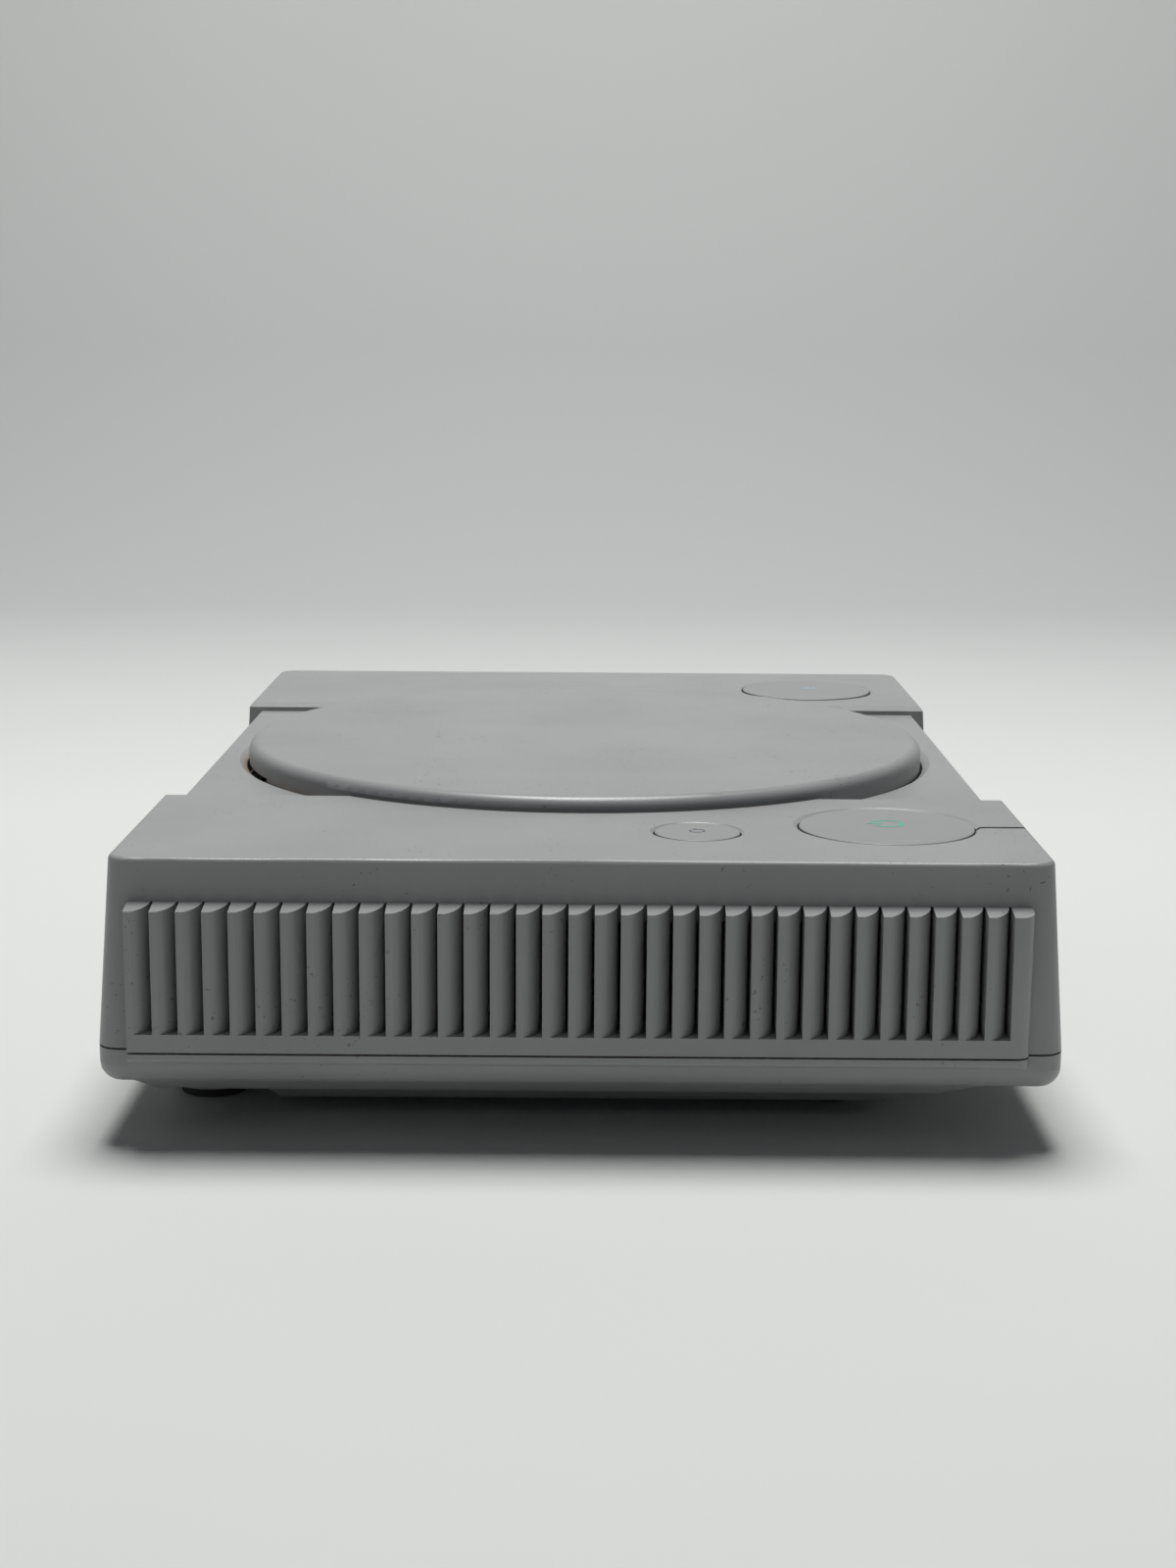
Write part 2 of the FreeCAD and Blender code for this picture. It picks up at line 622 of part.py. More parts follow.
SCREW_PLACES = [
    (f"{side}*screw_side", f"{end}*screw_reach") for side in (-1, 1) for end in (-1, 1)
]
MIDDLE_SCREW = ("0", "-screw_middle")
FOOT_PLACES = [
    (f"{side}*foot_side", end) for side in (-1, 1) for end in ("-foot_front", "foot_rear")
]
FOOT_RECESSES = [(f"{side}*foot_recess_side", "foot_recess_rear") for side in (-1, 1)]
BUTTONS = {
    "power": ("-button_side", "-button_front"),
    "open": ("button_side", "-button_front"),
    "reset": ("-reset_side", "-reset_front"),
}
MAIN_SCREWS = [
    (x, y)
    for x in ("-main_left + board_screw_inset", "main_right - board_screw_inset")
    for y in ("-main_front + board_screw_inset", "main_rear - board_screw_inset")
]
POWER_SCREWS = [
    (x, y)
    for x in ("-power_board_left + board_screw_inset", "-power_board_right - board_screw_inset")
    for y in ("-power_board_front + 2*board_screw_inset", "power_board_rear - board_screw_inset")
]
POSTS = [(x, f"{end}*post_reach") for x in ("-post_left", "post_right") for end in (-1, 1)]
SOCKET_SIDES = ("-socket_spacing/2", "socket_spacing/2")
REAR_CONNECTORS = [
    ("video_side", "video_width", "rear_connector_height"),
    ("serial_side", "serial_width", "rear_connector_height"),
    ("parallel_side", "parallel_width", "rear_connector_height"),
    ("-inlet_side", "inlet_width", "inlet_height"),
]

board_top = "board_height + board_thickness"
skirt_floor = "split_height - skirt_height + skirt_plate"
belly_floor = "belly_height + wall"
nose_plane = "case_width/2 + fin_reach"
split_middle = "middle_depth/2 + (middle_height - split_height)*tan(draft_angle)"
screw_seat = "split_height - skirt_height + skirt_plate + 0.5"
wing_ceiling = "wing_height - wall"
middle_ceiling = "middle_height - wall"
lid_ceiling = "lid_height - lid_wall"
grille_length = "(fin_count - 1)*fin_pitch + fin_nose + fin_curve"
latch_top = "latch_bottom + latch_thickness"
drive_top = "drive_height + drive_plate"
cover_back = "middle_depth/2 - cover_thickness"
housing_back = "-housing_front + card_depth"
lid_switch_top = "ledge_height - ledge_plate"
shutter_axis = "-housing_front + shutter_axis_inset"
pinion_distance = "fine_module*(big_teeth + pinion_teeth)/2"
gear_front = "-rack_pitch_front - rack_module*small_teeth/2"
pinion_x = f"gear_side + {pinion_distance}*cos(pinion_angle)"
pinion_y = f"{gear_front} + {pinion_distance}*sin(pinion_angle)"
gear_bottom = f"{drive_top} + gear_lift"
gear_step = f"{gear_bottom} + big_gear_height"


def cut_rear_openings(body):
    """The openings for the rear connectors and the mains inlet, which reach over the split."""
    rear = new_sketch(body, "XZ_Plane", height="-case_depth")
    for side, width, height in REAR_CONNECTORS:
        half = f"{width}/2 + housing_gap"
        high = f"{board_top} + {height} + housing_gap"
        add_rectangle(rear, f"{side} - ({half})", f"{board_top} - housing_gap", f"{side} + {half}", high)
    pocket(body, rear, "case_depth/2 + 4*wall", up=True)


def cut_cover_seat(body):
    """The shallow seat of the parallel cover in the rear wall."""
    seat = new_sketch(body, "XZ_Plane", height=f"-({cover_back}) + housing_gap")
    border = "cover_border + housing_gap"
    add_rectangle(
        seat,
        f"parallel_side - parallel_width/2 - ({border})",
        f"{board_top} - ({border})",
        f"parallel_side + parallel_width/2 + {border}",
        f"{board_top} + rear_connector_height + {border}",
    )
    pocket(body, seat, "case_depth")


def round_grille_corner(body):
    """The rounded front end of both grilles."""
    corner = new_sketch(body)
    start = f"grille_rear - ({grille_length})"
    profile = [
        (f"{nose_plane} - fin_curve", start),
        (f"{nose_plane} - fin_curve", f"{start} - 1"),
        (f"{nose_plane} + 1", f"{start} - 1"),
        (f"{nose_plane} + 1", f"{start} + fin_curve"),
        (nose_plane, f"{start} + fin_curve", "fin_curve", "right"),
    ]
    add_outline(corner, profile)
    add_outline(corner, mirrored(profile))
    pocket(body, corner, FAR, up=True)


def add_rooms(body, floor, length, up):
    """The room inside the case: a wide middle part and a deeper part in each wing."""
    middle_room = new_sketch(body, height="split_height")
    depth = "middle_depth/2 - wall"
    add_rectangle(middle_room, "-inner_width/2", f"-({depth})", "inner_width/2", depth)
    pocket(body, middle_room, length, up=up)
    wing_rooms = new_sketch(body, height="split_height")
    depth = "case_depth/2 - wall - (wing_height - split_height)*tan(draft_angle)"
    for low, high in (
        ("-inner_width/2", "-middle_width/2 - wall"), ("middle_width/2 + wall", "inner_width/2")
    ):
        add_rectangle(wing_rooms, low, f"-({depth})", high, depth)
    pocket(body, wing_rooms, floor, up=up)


def make_upper_case():
    body = new_body("upper_case")
    block = new_sketch(body, height="split_height")
    add_rectangle(block, "-case_width/2", "-case_depth/2", "case_width/2", "case_depth/2")
    pad(body, block, "wing_height - split_height", TaperAngle="-draft_angle")
    tall = number("wing_height - split_height")
    round_edges(body, "corner_radius", lambda box: abs(box.ZLength - tall) < 0.01)
    top = number("wing_height")
    round_edges(body, "top_edge_radius", lambda box: box.ZMin > top - 0.01 and box.ZMax < top + 0.01)

    # The middle section lies lower than the wings, with a slope along each wing
    middle = new_sketch(body, "XZ_Plane", height="case_depth")
    edge = [
        ("middle_width/2", "middle_height"),
        ("middle_width/2", "wing_height - bevel_drop"),
        ("middle_width/2 + bevel_width", "wing_height"),
        ("middle_width/2 + bevel_width", "wing_height + 1"),
    ]
    left = [(f"-({x})", y) for x, y in reversed(edge)]
    add_outline(middle, edge + left)
    pocket(body, middle, "2*case_depth")
    recesses = new_sketch(body, "YZ_Plane", height="-middle_width/2")
    for end in (-1, 1):
        add_outline(
            recesses,
            [
                (f"{end}*({split_middle})", "split_height"),
                (f"{end}*case_depth", "split_height"),
                (f"{end}*case_depth", "wing_height"),
                (f"{end}*(middle_depth/2)", "wing_height"),
                (f"{end}*(middle_depth/2)", "middle_height"),
            ],
        )
    pocket(body, recesses, "middle_width", up=True)

    # A block on each side, from which the fins are cut
    blocks = new_sketch(body, "XZ_Plane", height="-grille_rear")
    profile = [
        ("inner_width/2", "split_height"),
        (nose_plane, "split_height"),
        (nose_plane, "grille_top"),
        ("case_width/2 - (grille_top_inner - split_height)*tan(draft_angle)", "grille_top_inner"),
        ("inner_width/2", "grille_top_inner"),
    ]
    add_outline(blocks, profile)
    add_outline(blocks, mirrored(profile))
    pad(body, blocks, grille_length)

    # Inside of the shell
    add_rooms(body, f"{wing_ceiling} - split_height", f"{middle_ceiling} - split_height", True)

    # Tub of the disc well, with the hinge trough behind it
    ring = new_sketch(body, height="ledge_height - ledge_plate")
    add_circle(ring, "0", "0", "well_radius + wall")
    pad(body, ring, f"{wing_ceiling} - ledge_height + ledge_plate + 0.1")
    tub = new_sketch(body, height="disc_floor_height - ledge_plate")
    add_circle(tub, "0", "0", "disc_well_radius + wall")
    pad(body, tub, "ledge_height - disc_floor_height")
    trough = new_sketch(body, height="trough_floor - ledge_plate")
    add_rectangle(
        trough,
        "-trough_width/2 - ledge_plate",
        "trough_front - ledge_plate",
        "trough_width/2 + ledge_plate",
        "middle_depth/2 - wall",
    )
    pad(body, trough, f"{middle_ceiling} - trough_floor + ledge_plate + 0.1")

    # Collars round the buttons, guides of the latch bar and screw bosses
    collars = new_sketch(body, height="collar_bottom")
    for name, (x, y) in BUTTONS.items():
        radius = "reset_radius" if name == "reset" else "button_radius"
        add_circle(collars, x, y, f"{radius} + running_gap + collar_wall")
    pad(body, collars, f"{wing_ceiling} - collar_bottom + 0.1")
    guides = new_sketch(body, height="latch_bottom - ledge_plate")
    reach = "latch_width/2 + guide_wall"
    low, high = f"-hook_front - ({reach})", f"-hook_front + {reach}"
    add_rectangle(guides, "guide_first", low, "guide_first + guide_length", high)
    pad(body, guides, "ledge_height - latch_bottom")
    far_guide = new_sketch(body, height="latch_bottom - ledge_plate")
    add_rectangle(far_guide, "guide_second", low, "guide_second + guide_length", high)
    pad(body, far_guide, f"{wing_ceiling} - latch_bottom + ledge_plate + 0.1")
    bosses = new_sketch(body, height="split_height")
    for x, y in SCREW_PLACES:
        add_circle(bosses, x, y, "boss_radius")
    pad(body, bosses, f"{wing_ceiling} - split_height + 0.1")
    middle_boss = new_sketch(body, height="split_height")
    add_circle(middle_boss, *MIDDLE_SCREW, "boss_radius")
    pad(body, middle_boss, "disc_floor_height - ledge_plate - split_height + 0.1")
    pilots = new_sketch(body, height="split_height")
    for x, y in SCREW_PLACES + [MIDDLE_SCREW]:
        add_circle(pilots, x, y, "screw_shank + shaft_gap")
    pocket(body, pilots, "screw_length", up=True)

    # The hollows of the well
    hollow = new_sketch(body, height="ledge_height")
    add_circle(hollow, "0", "0", "well_radius")
    pocket(body, hollow, FAR, up=True)
    disc_room = new_sketch(body, height="disc_floor_height")
    add_circle(disc_room, "0", "0", "disc_well_radius")
    pocket(body, disc_room, "wing_height", up=True)
    trough_room = new_sketch(body, height="trough_floor")
    add_rectangle(trough_room, "-trough_width/2", "trough_front", "trough_width/2", "trough_rear")
    pocket(body, trough_room, "ledge_height - trough_floor", up=True)
    hub_room = new_sketch(body)
    add_circle(hub_room, "0", "0", "hub_opening")
    pocket(body, hub_room, "disc_floor_height + 1", up=True)
    lens_room = new_sketch(body, height="disc_floor_height - 2*ledge_plate")
    half = "lens_opening_width/2"
    bend = f"lens_opening_length - {half}"
    tip = ("lens_opening_length", "0", half)
    add_outline(lens_room, [("0", f"-{half}"), (bend, f"-{half}", half), tip, (bend, half), ("0", half)])
    pocket(body, lens_room, "4*ledge_plate", up=True)
    bevel = new_sketch(body, "XZ_Plane")
    add_outline(
        bevel,
        [
            ("well_radius - 0.5", "middle_height - well_bevel_drop"),
            ("well_radius", "middle_height - well_bevel_drop"),
            ("well_bevel_radius", "middle_height"),
            ("well_bevel_radius", "wing_height + 1"),
            ("well_radius - 0.5", "wing_height + 1"),
        ],
    )
    turn(body, bevel, "Groove")

    # Button holes and dishes, the groove of the power light
    holes = new_sketch(body, height="collar_bottom")
    for name, (x, y) in BUTTONS.items():
        radius = "reset_radius" if name == "reset" else "button_radius"
        add_circle(holes, x, y, f"{radius} + running_gap")
    pocket(body, holes, "wing_height", up=True)
    for name, (x, y) in BUTTONS.items():
        radius = "reset_radius" if name == "reset" else "button_radius"
        shift = "reset_dish_shift" if name == "reset" else "button_dish_shift"
        inward = f"{x} - {shift}" if name == "open" else f"{x} + {shift}"
        foot = f"{radius} + running_gap - {shift}"
        edge = f"{radius} + running_gap + {shift}"
        dish = new_sketch(body, "XZ_Plane", height=f"-({y})", right=inward)
        add_outline(
            dish,
            [
                (f"{foot} - 1", "wing_height - button_dish_depth"),
                (foot, "wing_height - button_dish_depth"),
                (edge, "wing_height"),
                (edge, "wing_height + 1"),
                (f"{foot} - 1", "wing_height + 1"),
            ],
        )
        turn(body, dish, "Groove")
    groove = new_sketch(body, height="wing_height")
    left_edge = "-light_side - groove_width/2"
    right_edge = "-light_side + groove_width/2"
    dish_front = "-button_front - button_radius - running_gap - button_dish_shift"
    add_outline(
        groove,
        [
            (left_edge, "-case_depth/2"),
            (right_edge, "-case_depth/2"),
            (right_edge, f"{dish_front} - groove_width/2"),
            (f"{right_edge} - groove_width", f"{dish_front} + groove_width"),
            (f"{left_edge} - groove_width", f"{dish_front} + groove_width"),
            (left_edge, f"{dish_front} - groove_width/2"),
        ],
    )
    pocket(body, groove, "groove_depth")
    pipe_slot = new_sketch(body, height="wing_height")
    half = "pipe_width/2 + seat_gap/3"
    add_rectangle(
        pipe_slot,
        f"-light_side - ({half})",
        "-pipe_front - seat_gap/3",
        f"-light_side + {half}",
        "-pipe_front + pipe_length + seat_gap/3",
    )
    pocket(body, pipe_slot, "wall + seat_gap")

    # Front and rear openings
    front = new_sketch(body, "XZ_Plane", height="case_depth")
    half = "housing_width/2 + housing_gap"
    add_rectangle(front, f"-({half})", "0", half, "housing_top + housing_gap")
    pocket(body, front, "case_depth/2 + 4*wall")
    cut_rear_openings(body)
    cut_cover_seat(body)

    # Ways for the hook, the latch bar and the lid switch
    hook_slot = new_sketch(body)
    add_rectangle(
        hook_slot,
        "hook_side - 1",
        "-hook_front - hook_width/2 - 1",
        "hook_side + hook_plate + hook_nose + 1",
        "-hook_front + hook_width/2 + 1",
    )
    pocket(body, hook_slot, "ledge_height + 1", up=True)
    bar_way = new_sketch(body, "YZ_Plane", height="guide_first - 1")
    half = "latch_width/2 + seat_gap"
    add_rectangle(
        bar_way,
        f"-hook_front - ({half})",
        "latch_bottom - seat_gap",
        f"-hook_front + {half}",
        f"{latch_top} + seat_gap",
    )
    pocket(body, bar_way, "guide_second + guide_length - guide_first + 2", up=True)
    switch_hole = new_sketch(body)
    add_circle(switch_hole, "-lid_switch_side", "-lid_switch_front", "plunger_radius + seat_gap")
    pocket(body, switch_hole, "ledge_height + 1", up=True)

    # Hinge ears in the trough
    for side in (-1, 1):
        near = "hinge_ear_inner" if side > 0 else "-hinge_ear_inner - hinge_ear_width"
        ear = new_sketch(body, "YZ_Plane", height=near)
        add_outline(
            ear,
            [
                ("hinge_rear - 1.75*hinge_ear_radius", "trough_floor"),
                ("hinge_rear + hinge_ear_radius/2", "trough_floor"),
                ("hinge_rear + hinge_ear_radius/2", "hinge_height"),
                ("hinge_rear - hinge_ear_radius/2", "hinge_height"),
            ],
        )
        pad(body, ear, "hinge_ear_width")
        knuckle = new_sketch(body, "YZ_Plane", height=near)
        add_circle(knuckle, "hinge_rear", "hinge_height", "hinge_ear_radius")
        pad(body, knuckle, "hinge_ear_width")
    bore = new_sketch(body, "YZ_Plane", height="-hinge_ear_inner - hinge_ear_width - 1")
    add_circle(bore, "hinge_rear", "hinge_height", "hinge_pin_radius + shaft_gap")
    pocket(body, bore, "2*(hinge_ear_inner + hinge_ear_width + 1)", up=True)

    # Air slots, then the fins: each gap has a straight rear side and a sloping front side
    round_grille_corner(body)
    gap_floor = f"{nose_plane} - gap_depth"
    slot = new_sketch(body, height="slot_bottom")
    near = "grille_rear - slot_first*fin_pitch"
    for side in (-1, 1):
        inner, outer = sorted((f"{side}*(inner_width/2 - 1)", f"{side}*({gap_floor} + 0.1)"), key=number)
        add_rectangle(slot, inner, near, outer, f"{near} + fin_pitch - fin_nose - fin_slope")
    first_slot = pocket(body, slot, "slot_top - slot_bottom", up=True)
    repeat(body, first_slot, "Y_Axis", "fin_pitch", "fin_count - slot_first", backwards=True)
    gap = new_sketch(body, height="split_height + bar_height")
    near = "grille_rear - fin_pitch"
    profile = [
        (gap_floor, near),
        (f"{nose_plane} + 1", near),
        (f"{nose_plane} + 1", "grille_rear - fin_nose"),
        (nose_plane, "grille_rear - fin_nose", "fin_bow", "right"),
        (gap_floor, "grille_rear - fin_nose - fin_slope"),
    ]
    add_outline(gap, profile)
    add_outline(gap, mirrored(profile))
    first_gap = pocket(body, gap, "grille_top_inner - split_height - bar_height", up=True)
    repeat(body, first_gap, "Y_Axis", "fin_pitch", "fin_count - 1", backwards=True)
    return body


def add_loft(body, low_sketch, high_sketch):
    loft = body.newObject("PartDesign::AdditiveLoft", body.Label + "_loft")
    loft.Profile = low_sketch
    loft.Sections = [high_sketch]
    loft.Ruled = True
    hide(low_sketch, high_sketch)
    return loft


def make_lower_case():
    body = new_body("lower_case")
    skirt = new_sketch(body, height="split_height")
    add_rectangle(skirt, "-case_width/2", "-case_depth/2", "case_width/2", "case_depth/2")
    pad(body, skirt, "skirt_height", down=True)
    tall = number("skirt_height")
    low = number("split_height - skirt_height")
    round_edges(body, "corner_radius", lambda box: abs(box.ZLength - tall) < 0.01)
    round_edges(body, "skirt_radius", lambda box: box.ZMax < low + 0.01)
    recess = new_sketch(body, height="split_height")
    for low_end, high_end in (("-case_depth", f"-({split_middle})"), (split_middle, "case_depth")):
        add_rectangle(recess, "-middle_width/2", low_end, "middle_width/2", high_end)
    pocket(body, recess, "2*skirt_height")
    band = new_sketch(body, "XZ_Plane", height="-grille_rear")
    profile = [
        ("inner_width/2", "split_height - band_height"),
        (f"{nose_plane} - band_radius", "split_height - band_height", "band_radius"),
        (nose_plane, "split_height - band_height + band_radius"),
        (nose_plane, "split_height"),
        ("inner_width/2", "split_height"),
    ]
    add_outline(band, profile)
    add_outline(band, mirrored(profile))
    pad(body, band, grille_length)
    round_grille_corner(body)

    # The belly narrows towards its underside in two steps
    ledge_low = new_sketch(body, height="belly_step")
    add_rectangle(ledge_low, "-ledge_width/2", "-ledge_front", "ledge_width/2", "ledge_rear")
    ledge_high = new_sketch(body, height="split_height - skirt_height")
    half = "ledge_width/2 + ledge_slope"
    add_rectangle(
        ledge_high, f"-({half})", "-ledge_front - ledge_front_slope", half, "ledge_rear + ledge_rear_slope"
    )
    add_loft(body, ledge_low, ledge_high)
    belly_low = new_sketch(body, height="belly_height")
    add_rectangle(belly_low, "-belly_width/2", "-belly_front", "belly_width/2", "belly_rear")
    belly_high = new_sketch(body, height="belly_step")
    half = "belly_width/2 + belly_slope"
    add_rectangle(
        belly_high, f"-({half})", "-belly_front - belly_slope", half, "belly_rear + belly_slope"
    )
    add_loft(body, belly_low, belly_high)
    recesses = new_sketch(body)
    for x, y in FOOT_RECESSES:
        add_circle(recesses, x, y, "foot_recess_radius")
    pocket(body, recesses, "foot_recess_height", up=True)
    pillars = new_sketch(body, height="foot_pillar_height")
    for x, y in FOOT_PLACES:
        add_circle(pillars, x, y, "foot_pillar_radius")
    pad(body, pillars, "foot_recess_height - foot_pillar_height + 0.1")
    foot_seats = new_sketch(body)
    for x, y in FOOT_PLACES:
        add_circle(foot_seats, x, y, "foot_radius + shaft_gap")
    pocket(body, foot_seats, "foot_thickness", up=True)

    # Inside of the tray
    add_rooms(body, "skirt_height - skirt_plate", "skirt_height - skirt_plate", False)
    cavity = new_sketch(body, height="split_height")
    wide = "belly_cavity_width/2"
    narrow = "belly_cavity_middle/2"
    add_outline(
        cavity,
        [
            (f"-({wide})", "-belly_cavity_front"),
            (wide, "-belly_cavity_front"),
            (wide, "belly_cavity_side_rear"),
            (narrow, "belly_cavity_side_rear"),
            (narrow, "belly_cavity_rear"),
            (f"-({narrow})", "belly_cavity_rear"),
            (f"-({narrow})", "belly_cavity_side_rear"),
            (f"-({wide})", "belly_cavity_side_rear"),
        ],
    )
    pocket(body, cavity, f"split_height - ({belly_floor})")

    # The halves meet on their screw bosses, with an open line between the walls
    rim = new_sketch(body, height="split_height")
    add_rectangle(rim, "-case_width", "-case_depth", "case_width", "case_depth")
    pocket(body, rim, "split_gap")

    # Pillars and posts
    def stand(places, radius, foot, top):
        sketch = new_sketch(body, height=f"{foot} - 0.1")
        for x, y in places:
            add_circle(sketch, x, y, radius)
        pad(body, sketch, f"{top} - ({foot}) + 0.1")

    stand(SCREW_PLACES, "lower_boss_radius", skirt_floor, "split_height")
    stand([MIDDLE_SCREW], "lower_boss_radius", belly_floor, "split_height")
    front_screws = [place for place in MAIN_SCREWS if place[1].startswith("-")]
    rear_screws = [place for place in MAIN_SCREWS if not place[1].startswith("-")]
    stand(front_screws, "standoff_radius", belly_floor, "lower_shield_height")
    stand(rear_screws, "standoff_radius", skirt_floor, "lower_shield_height")
    stand(MAIN_SCREWS, "standoff_neck", "lower_shield_height", "board_height")
    stand(POWER_SCREWS, "standoff_radius", skirt_floor, "board_height")
    stand(POSTS, "post_radius", belly_floor, "post_shoulder")
    stand(POSTS, "post_pin_radius", "post_shoulder", "post_top")
    stand([BUTTONS["open"]], "open_post_radius", skirt_floor, "open_post_height")

    # Screw holes
    sinks = new_sketch(body)
    ways = new_sketch(body)
    for x, y in SCREW_PLACES + [MIDDLE_SCREW]:
        add_circle(sinks, x, y, "screw_head + seat_gap")
        add_circle(ways, x, y, "screw_shank + shaft_gap")
    pocket(body, sinks, screw_seat, up=True)
    pocket(body, ways, "split_height", up=True)
    pilots = new_sketch(body, height="board_height")
    for x, y in MAIN_SCREWS + POWER_SCREWS:
        add_circle(pilots, x, y, "board_screw_shank + shaft_gap")
    pocket(body, pilots, "board_screw_length - board_thickness + 0.1")

    front = new_sketch(body, "XZ_Plane", height="case_depth")
    half = "housing_width/2 + housing_gap"
    add_rectangle(front, f"-({half})", skirt_floor, half, "split_height + 1")
    pocket(body, front, "case_depth/2 + 4*wall")
    cut_rear_openings(body)
    cut_cover_seat(body)
    return body


def make_lid():
    body = new_body("disc_lid")
    disc = new_sketch(body, height="lid_rim_bottom")
    add_circle(disc, "0", "0", "lid_radius")
    pad(body, disc, "lid_height - lid_rim_bottom")
    top = number("lid_height")
    round_edges(body, "lid_rim_radius", lambda box: box.ZMin > top - 0.01)
    hollow = new_sketch(body, height="lid_rim_bottom")
    add_circle(hollow, "0", "0", "lid_radius - lid_wall")
    pocket(body, hollow, f"{lid_ceiling} - lid_rim_bottom", up=True)
    notch = new_sketch(body, height="lid_rim_bottom")
    add_rectangle(notch, "-lid_notch_width/2", "lid_radius/2", "lid_notch_width/2", "lid_radius + 1")
    pocket(body, notch, "lid_notch_top - lid_rim_bottom", up=True)
    rib = new_sketch(body, height=lid_ceiling)
    add_circle(rib, "0", "0", "lid_rib_radius")
    add_circle(rib, "0", "0", "lid_rib_radius - lid_rib_height")
    pad(body, rib, "lid_rib_height", down=True)
    plate = new_sketch(body, height=f"{lid_ceiling} + 0.1")
    front, rear = "-hook_front - hook_width/2", "-hook_front + hook_width/2"
    add_rectangle(plate, "hook_side", front, "hook_side + hook_plate", rear)
    pad(body, plate, f"{lid_ceiling} + 0.1 - hook_bottom", down=True)
    nose = new_sketch(body, height="latch_bottom - seat_gap")
    add_rectangle(nose, "hook_side", front, "hook_side + hook_plate + hook_nose", rear)
    pad(body, nose, "latch_bottom - seat_gap - hook_bottom", down=True)
    tab = new_sketch(body, height="plunger_top + seat_gap")
    add_circle(tab, "-lid_switch_side", "-lid_switch_front", "lid_tab_radius")
    pad(body, tab, f"{lid_ceiling} - plunger_top - seat_gap + 0.1")
    for side in (-1, 1):
        near = "hinge_ear_inner + hinge_ear_width + hinge_side_gap"
        if side < 0:
            near = f"-({near}) - hinge_bracket_width"
        bracket = new_sketch(body, "YZ_Plane", height=near)
        radius = "hinge_bracket_radius"
        add_outline(
            bracket,
            [
                (f"hinge_rear - {radius}", "hinge_height", radius),
                ("hinge_rear", f"hinge_height - {radius}", radius),
                (f"hinge_rear + {radius}", "hinge_height"),
                (f"hinge_rear + {radius}", f"{lid_ceiling} + 0.1"),
                (f"hinge_rear - {radius}", f"{lid_ceiling} + 0.1"),
            ],
        )
        pad(body, bracket, "hinge_bracket_width")
    bore = new_sketch(body, "YZ_Plane", height="-trough_width/2")
    add_circle(bore, "hinge_rear", "hinge_height", "hinge_pin_radius")
    pocket(body, bore, "trough_width", up=True)
    return body


def make_button(label, place, radius, stem, stem_bottom):
    """A round cap with a flange under the case and a stem in the middle."""
    body = new_body(label)
    x, y = place
    cap = new_sketch(body, height="button_flange_bottom")
    add_circle(cap, x, y, radius)
    pad(body, cap, "button_top - button_flange_bottom")
    top = number("button_top")
    round_edges(body, "button_edge_radius", lambda box: box.ZMin > top - 0.01)
    flange = new_sketch(body, height="button_flange_bottom")
    add_circle(flange, x, y, f"{radius} + button_flange_width")
    pad(body, flange, "button_flange_height")
    hollow = new_sketch(body, height="button_flange_bottom")
    add_circle(hollow, x, y, f"{radius} - button_wall")
    pocket(body, hollow, "button_top - button_plate - button_flange_bottom", up=True)
    rod = new_sketch(body, height=stem_bottom)
    add_circle(rod, x, y, stem)
    pad(body, rod, f"button_top - button_plate + 0.1 - ({stem_bottom})")
    return body


def make_buttons():
    switch_top = f"{board_top} + switch_height + switch_plunger_out"
    make_button("power_button", BUTTONS["power"], "button_radius", "stem_radius", switch_top)
    actuator_top = f"{board_top} + reset_switch_height + reset_travel + 4*seat_gap"
    make_button("reset_button", BUTTONS["reset"], "reset_radius", "reset_stem_radius", actuator_top)
    body = make_button(
        "open_button", BUTTONS["open"], "button_radius", "open_stem_radius", "open_stem_bottom"
    )
    slope = f"ramp_start - latch_bottom - {math.sqrt(2):.4f}*seat_gap"
    wedge = new_sketch(body, "XZ_Plane", height="hook_front + wedge_width/2")
    top = "button_top - button_plate + 0.1"
    left = "ramp_start - 2*seat_gap - 0.1"
    add_outline(
        wedge,
        [
            (left, "wedge_bottom"),
            (f"wedge_bottom + {slope}", "wedge_bottom"),
            (f"{top} + {slope}", top),
            (left, top),
        ],
    )
    pad(body, wedge, "wedge_width", down=True)


def make_latch():
    body = new_body("lid_latch")
    bar = new_sketch(body, "XZ_Plane", height="hook_front + latch_width/2")
    ramp_top = "latch_bottom + ramp_rise"
    add_outline(
        bar,
        [
            ("latch_tip", "latch_bottom"),
            ("ramp_start + ramp_rise + ramp_block", "latch_bottom"),
            ("ramp_start + ramp_rise + ramp_block", ramp_top),
            ("ramp_start + ramp_rise", ramp_top),
            ("ramp_start + latch_thickness", latch_top),
            ("latch_tip + 1", latch_top),
            ("latch_tip", f"{latch_top} - 1"),
        ],
    )
    pad(body, bar, "latch_width", down=True)
    window = new_sketch(body, "XZ_Plane", height="hook_front + wedge_width/2 + seat_gap")
    add_outline(
        window,
        [
            ("ramp_start - ramp_window", "latch_bottom - 0.5"),
            ("ramp_start - 0.5", "latch_bottom - 0.5"),
            ("ramp_start + ramp_rise + 1", f"{ramp_top} + 1"),
            ("ramp_start - ramp_window", f"{ramp_top} + 1"),
        ],
    )
    pocket(body, window, "wedge_width + 2*seat_gap")


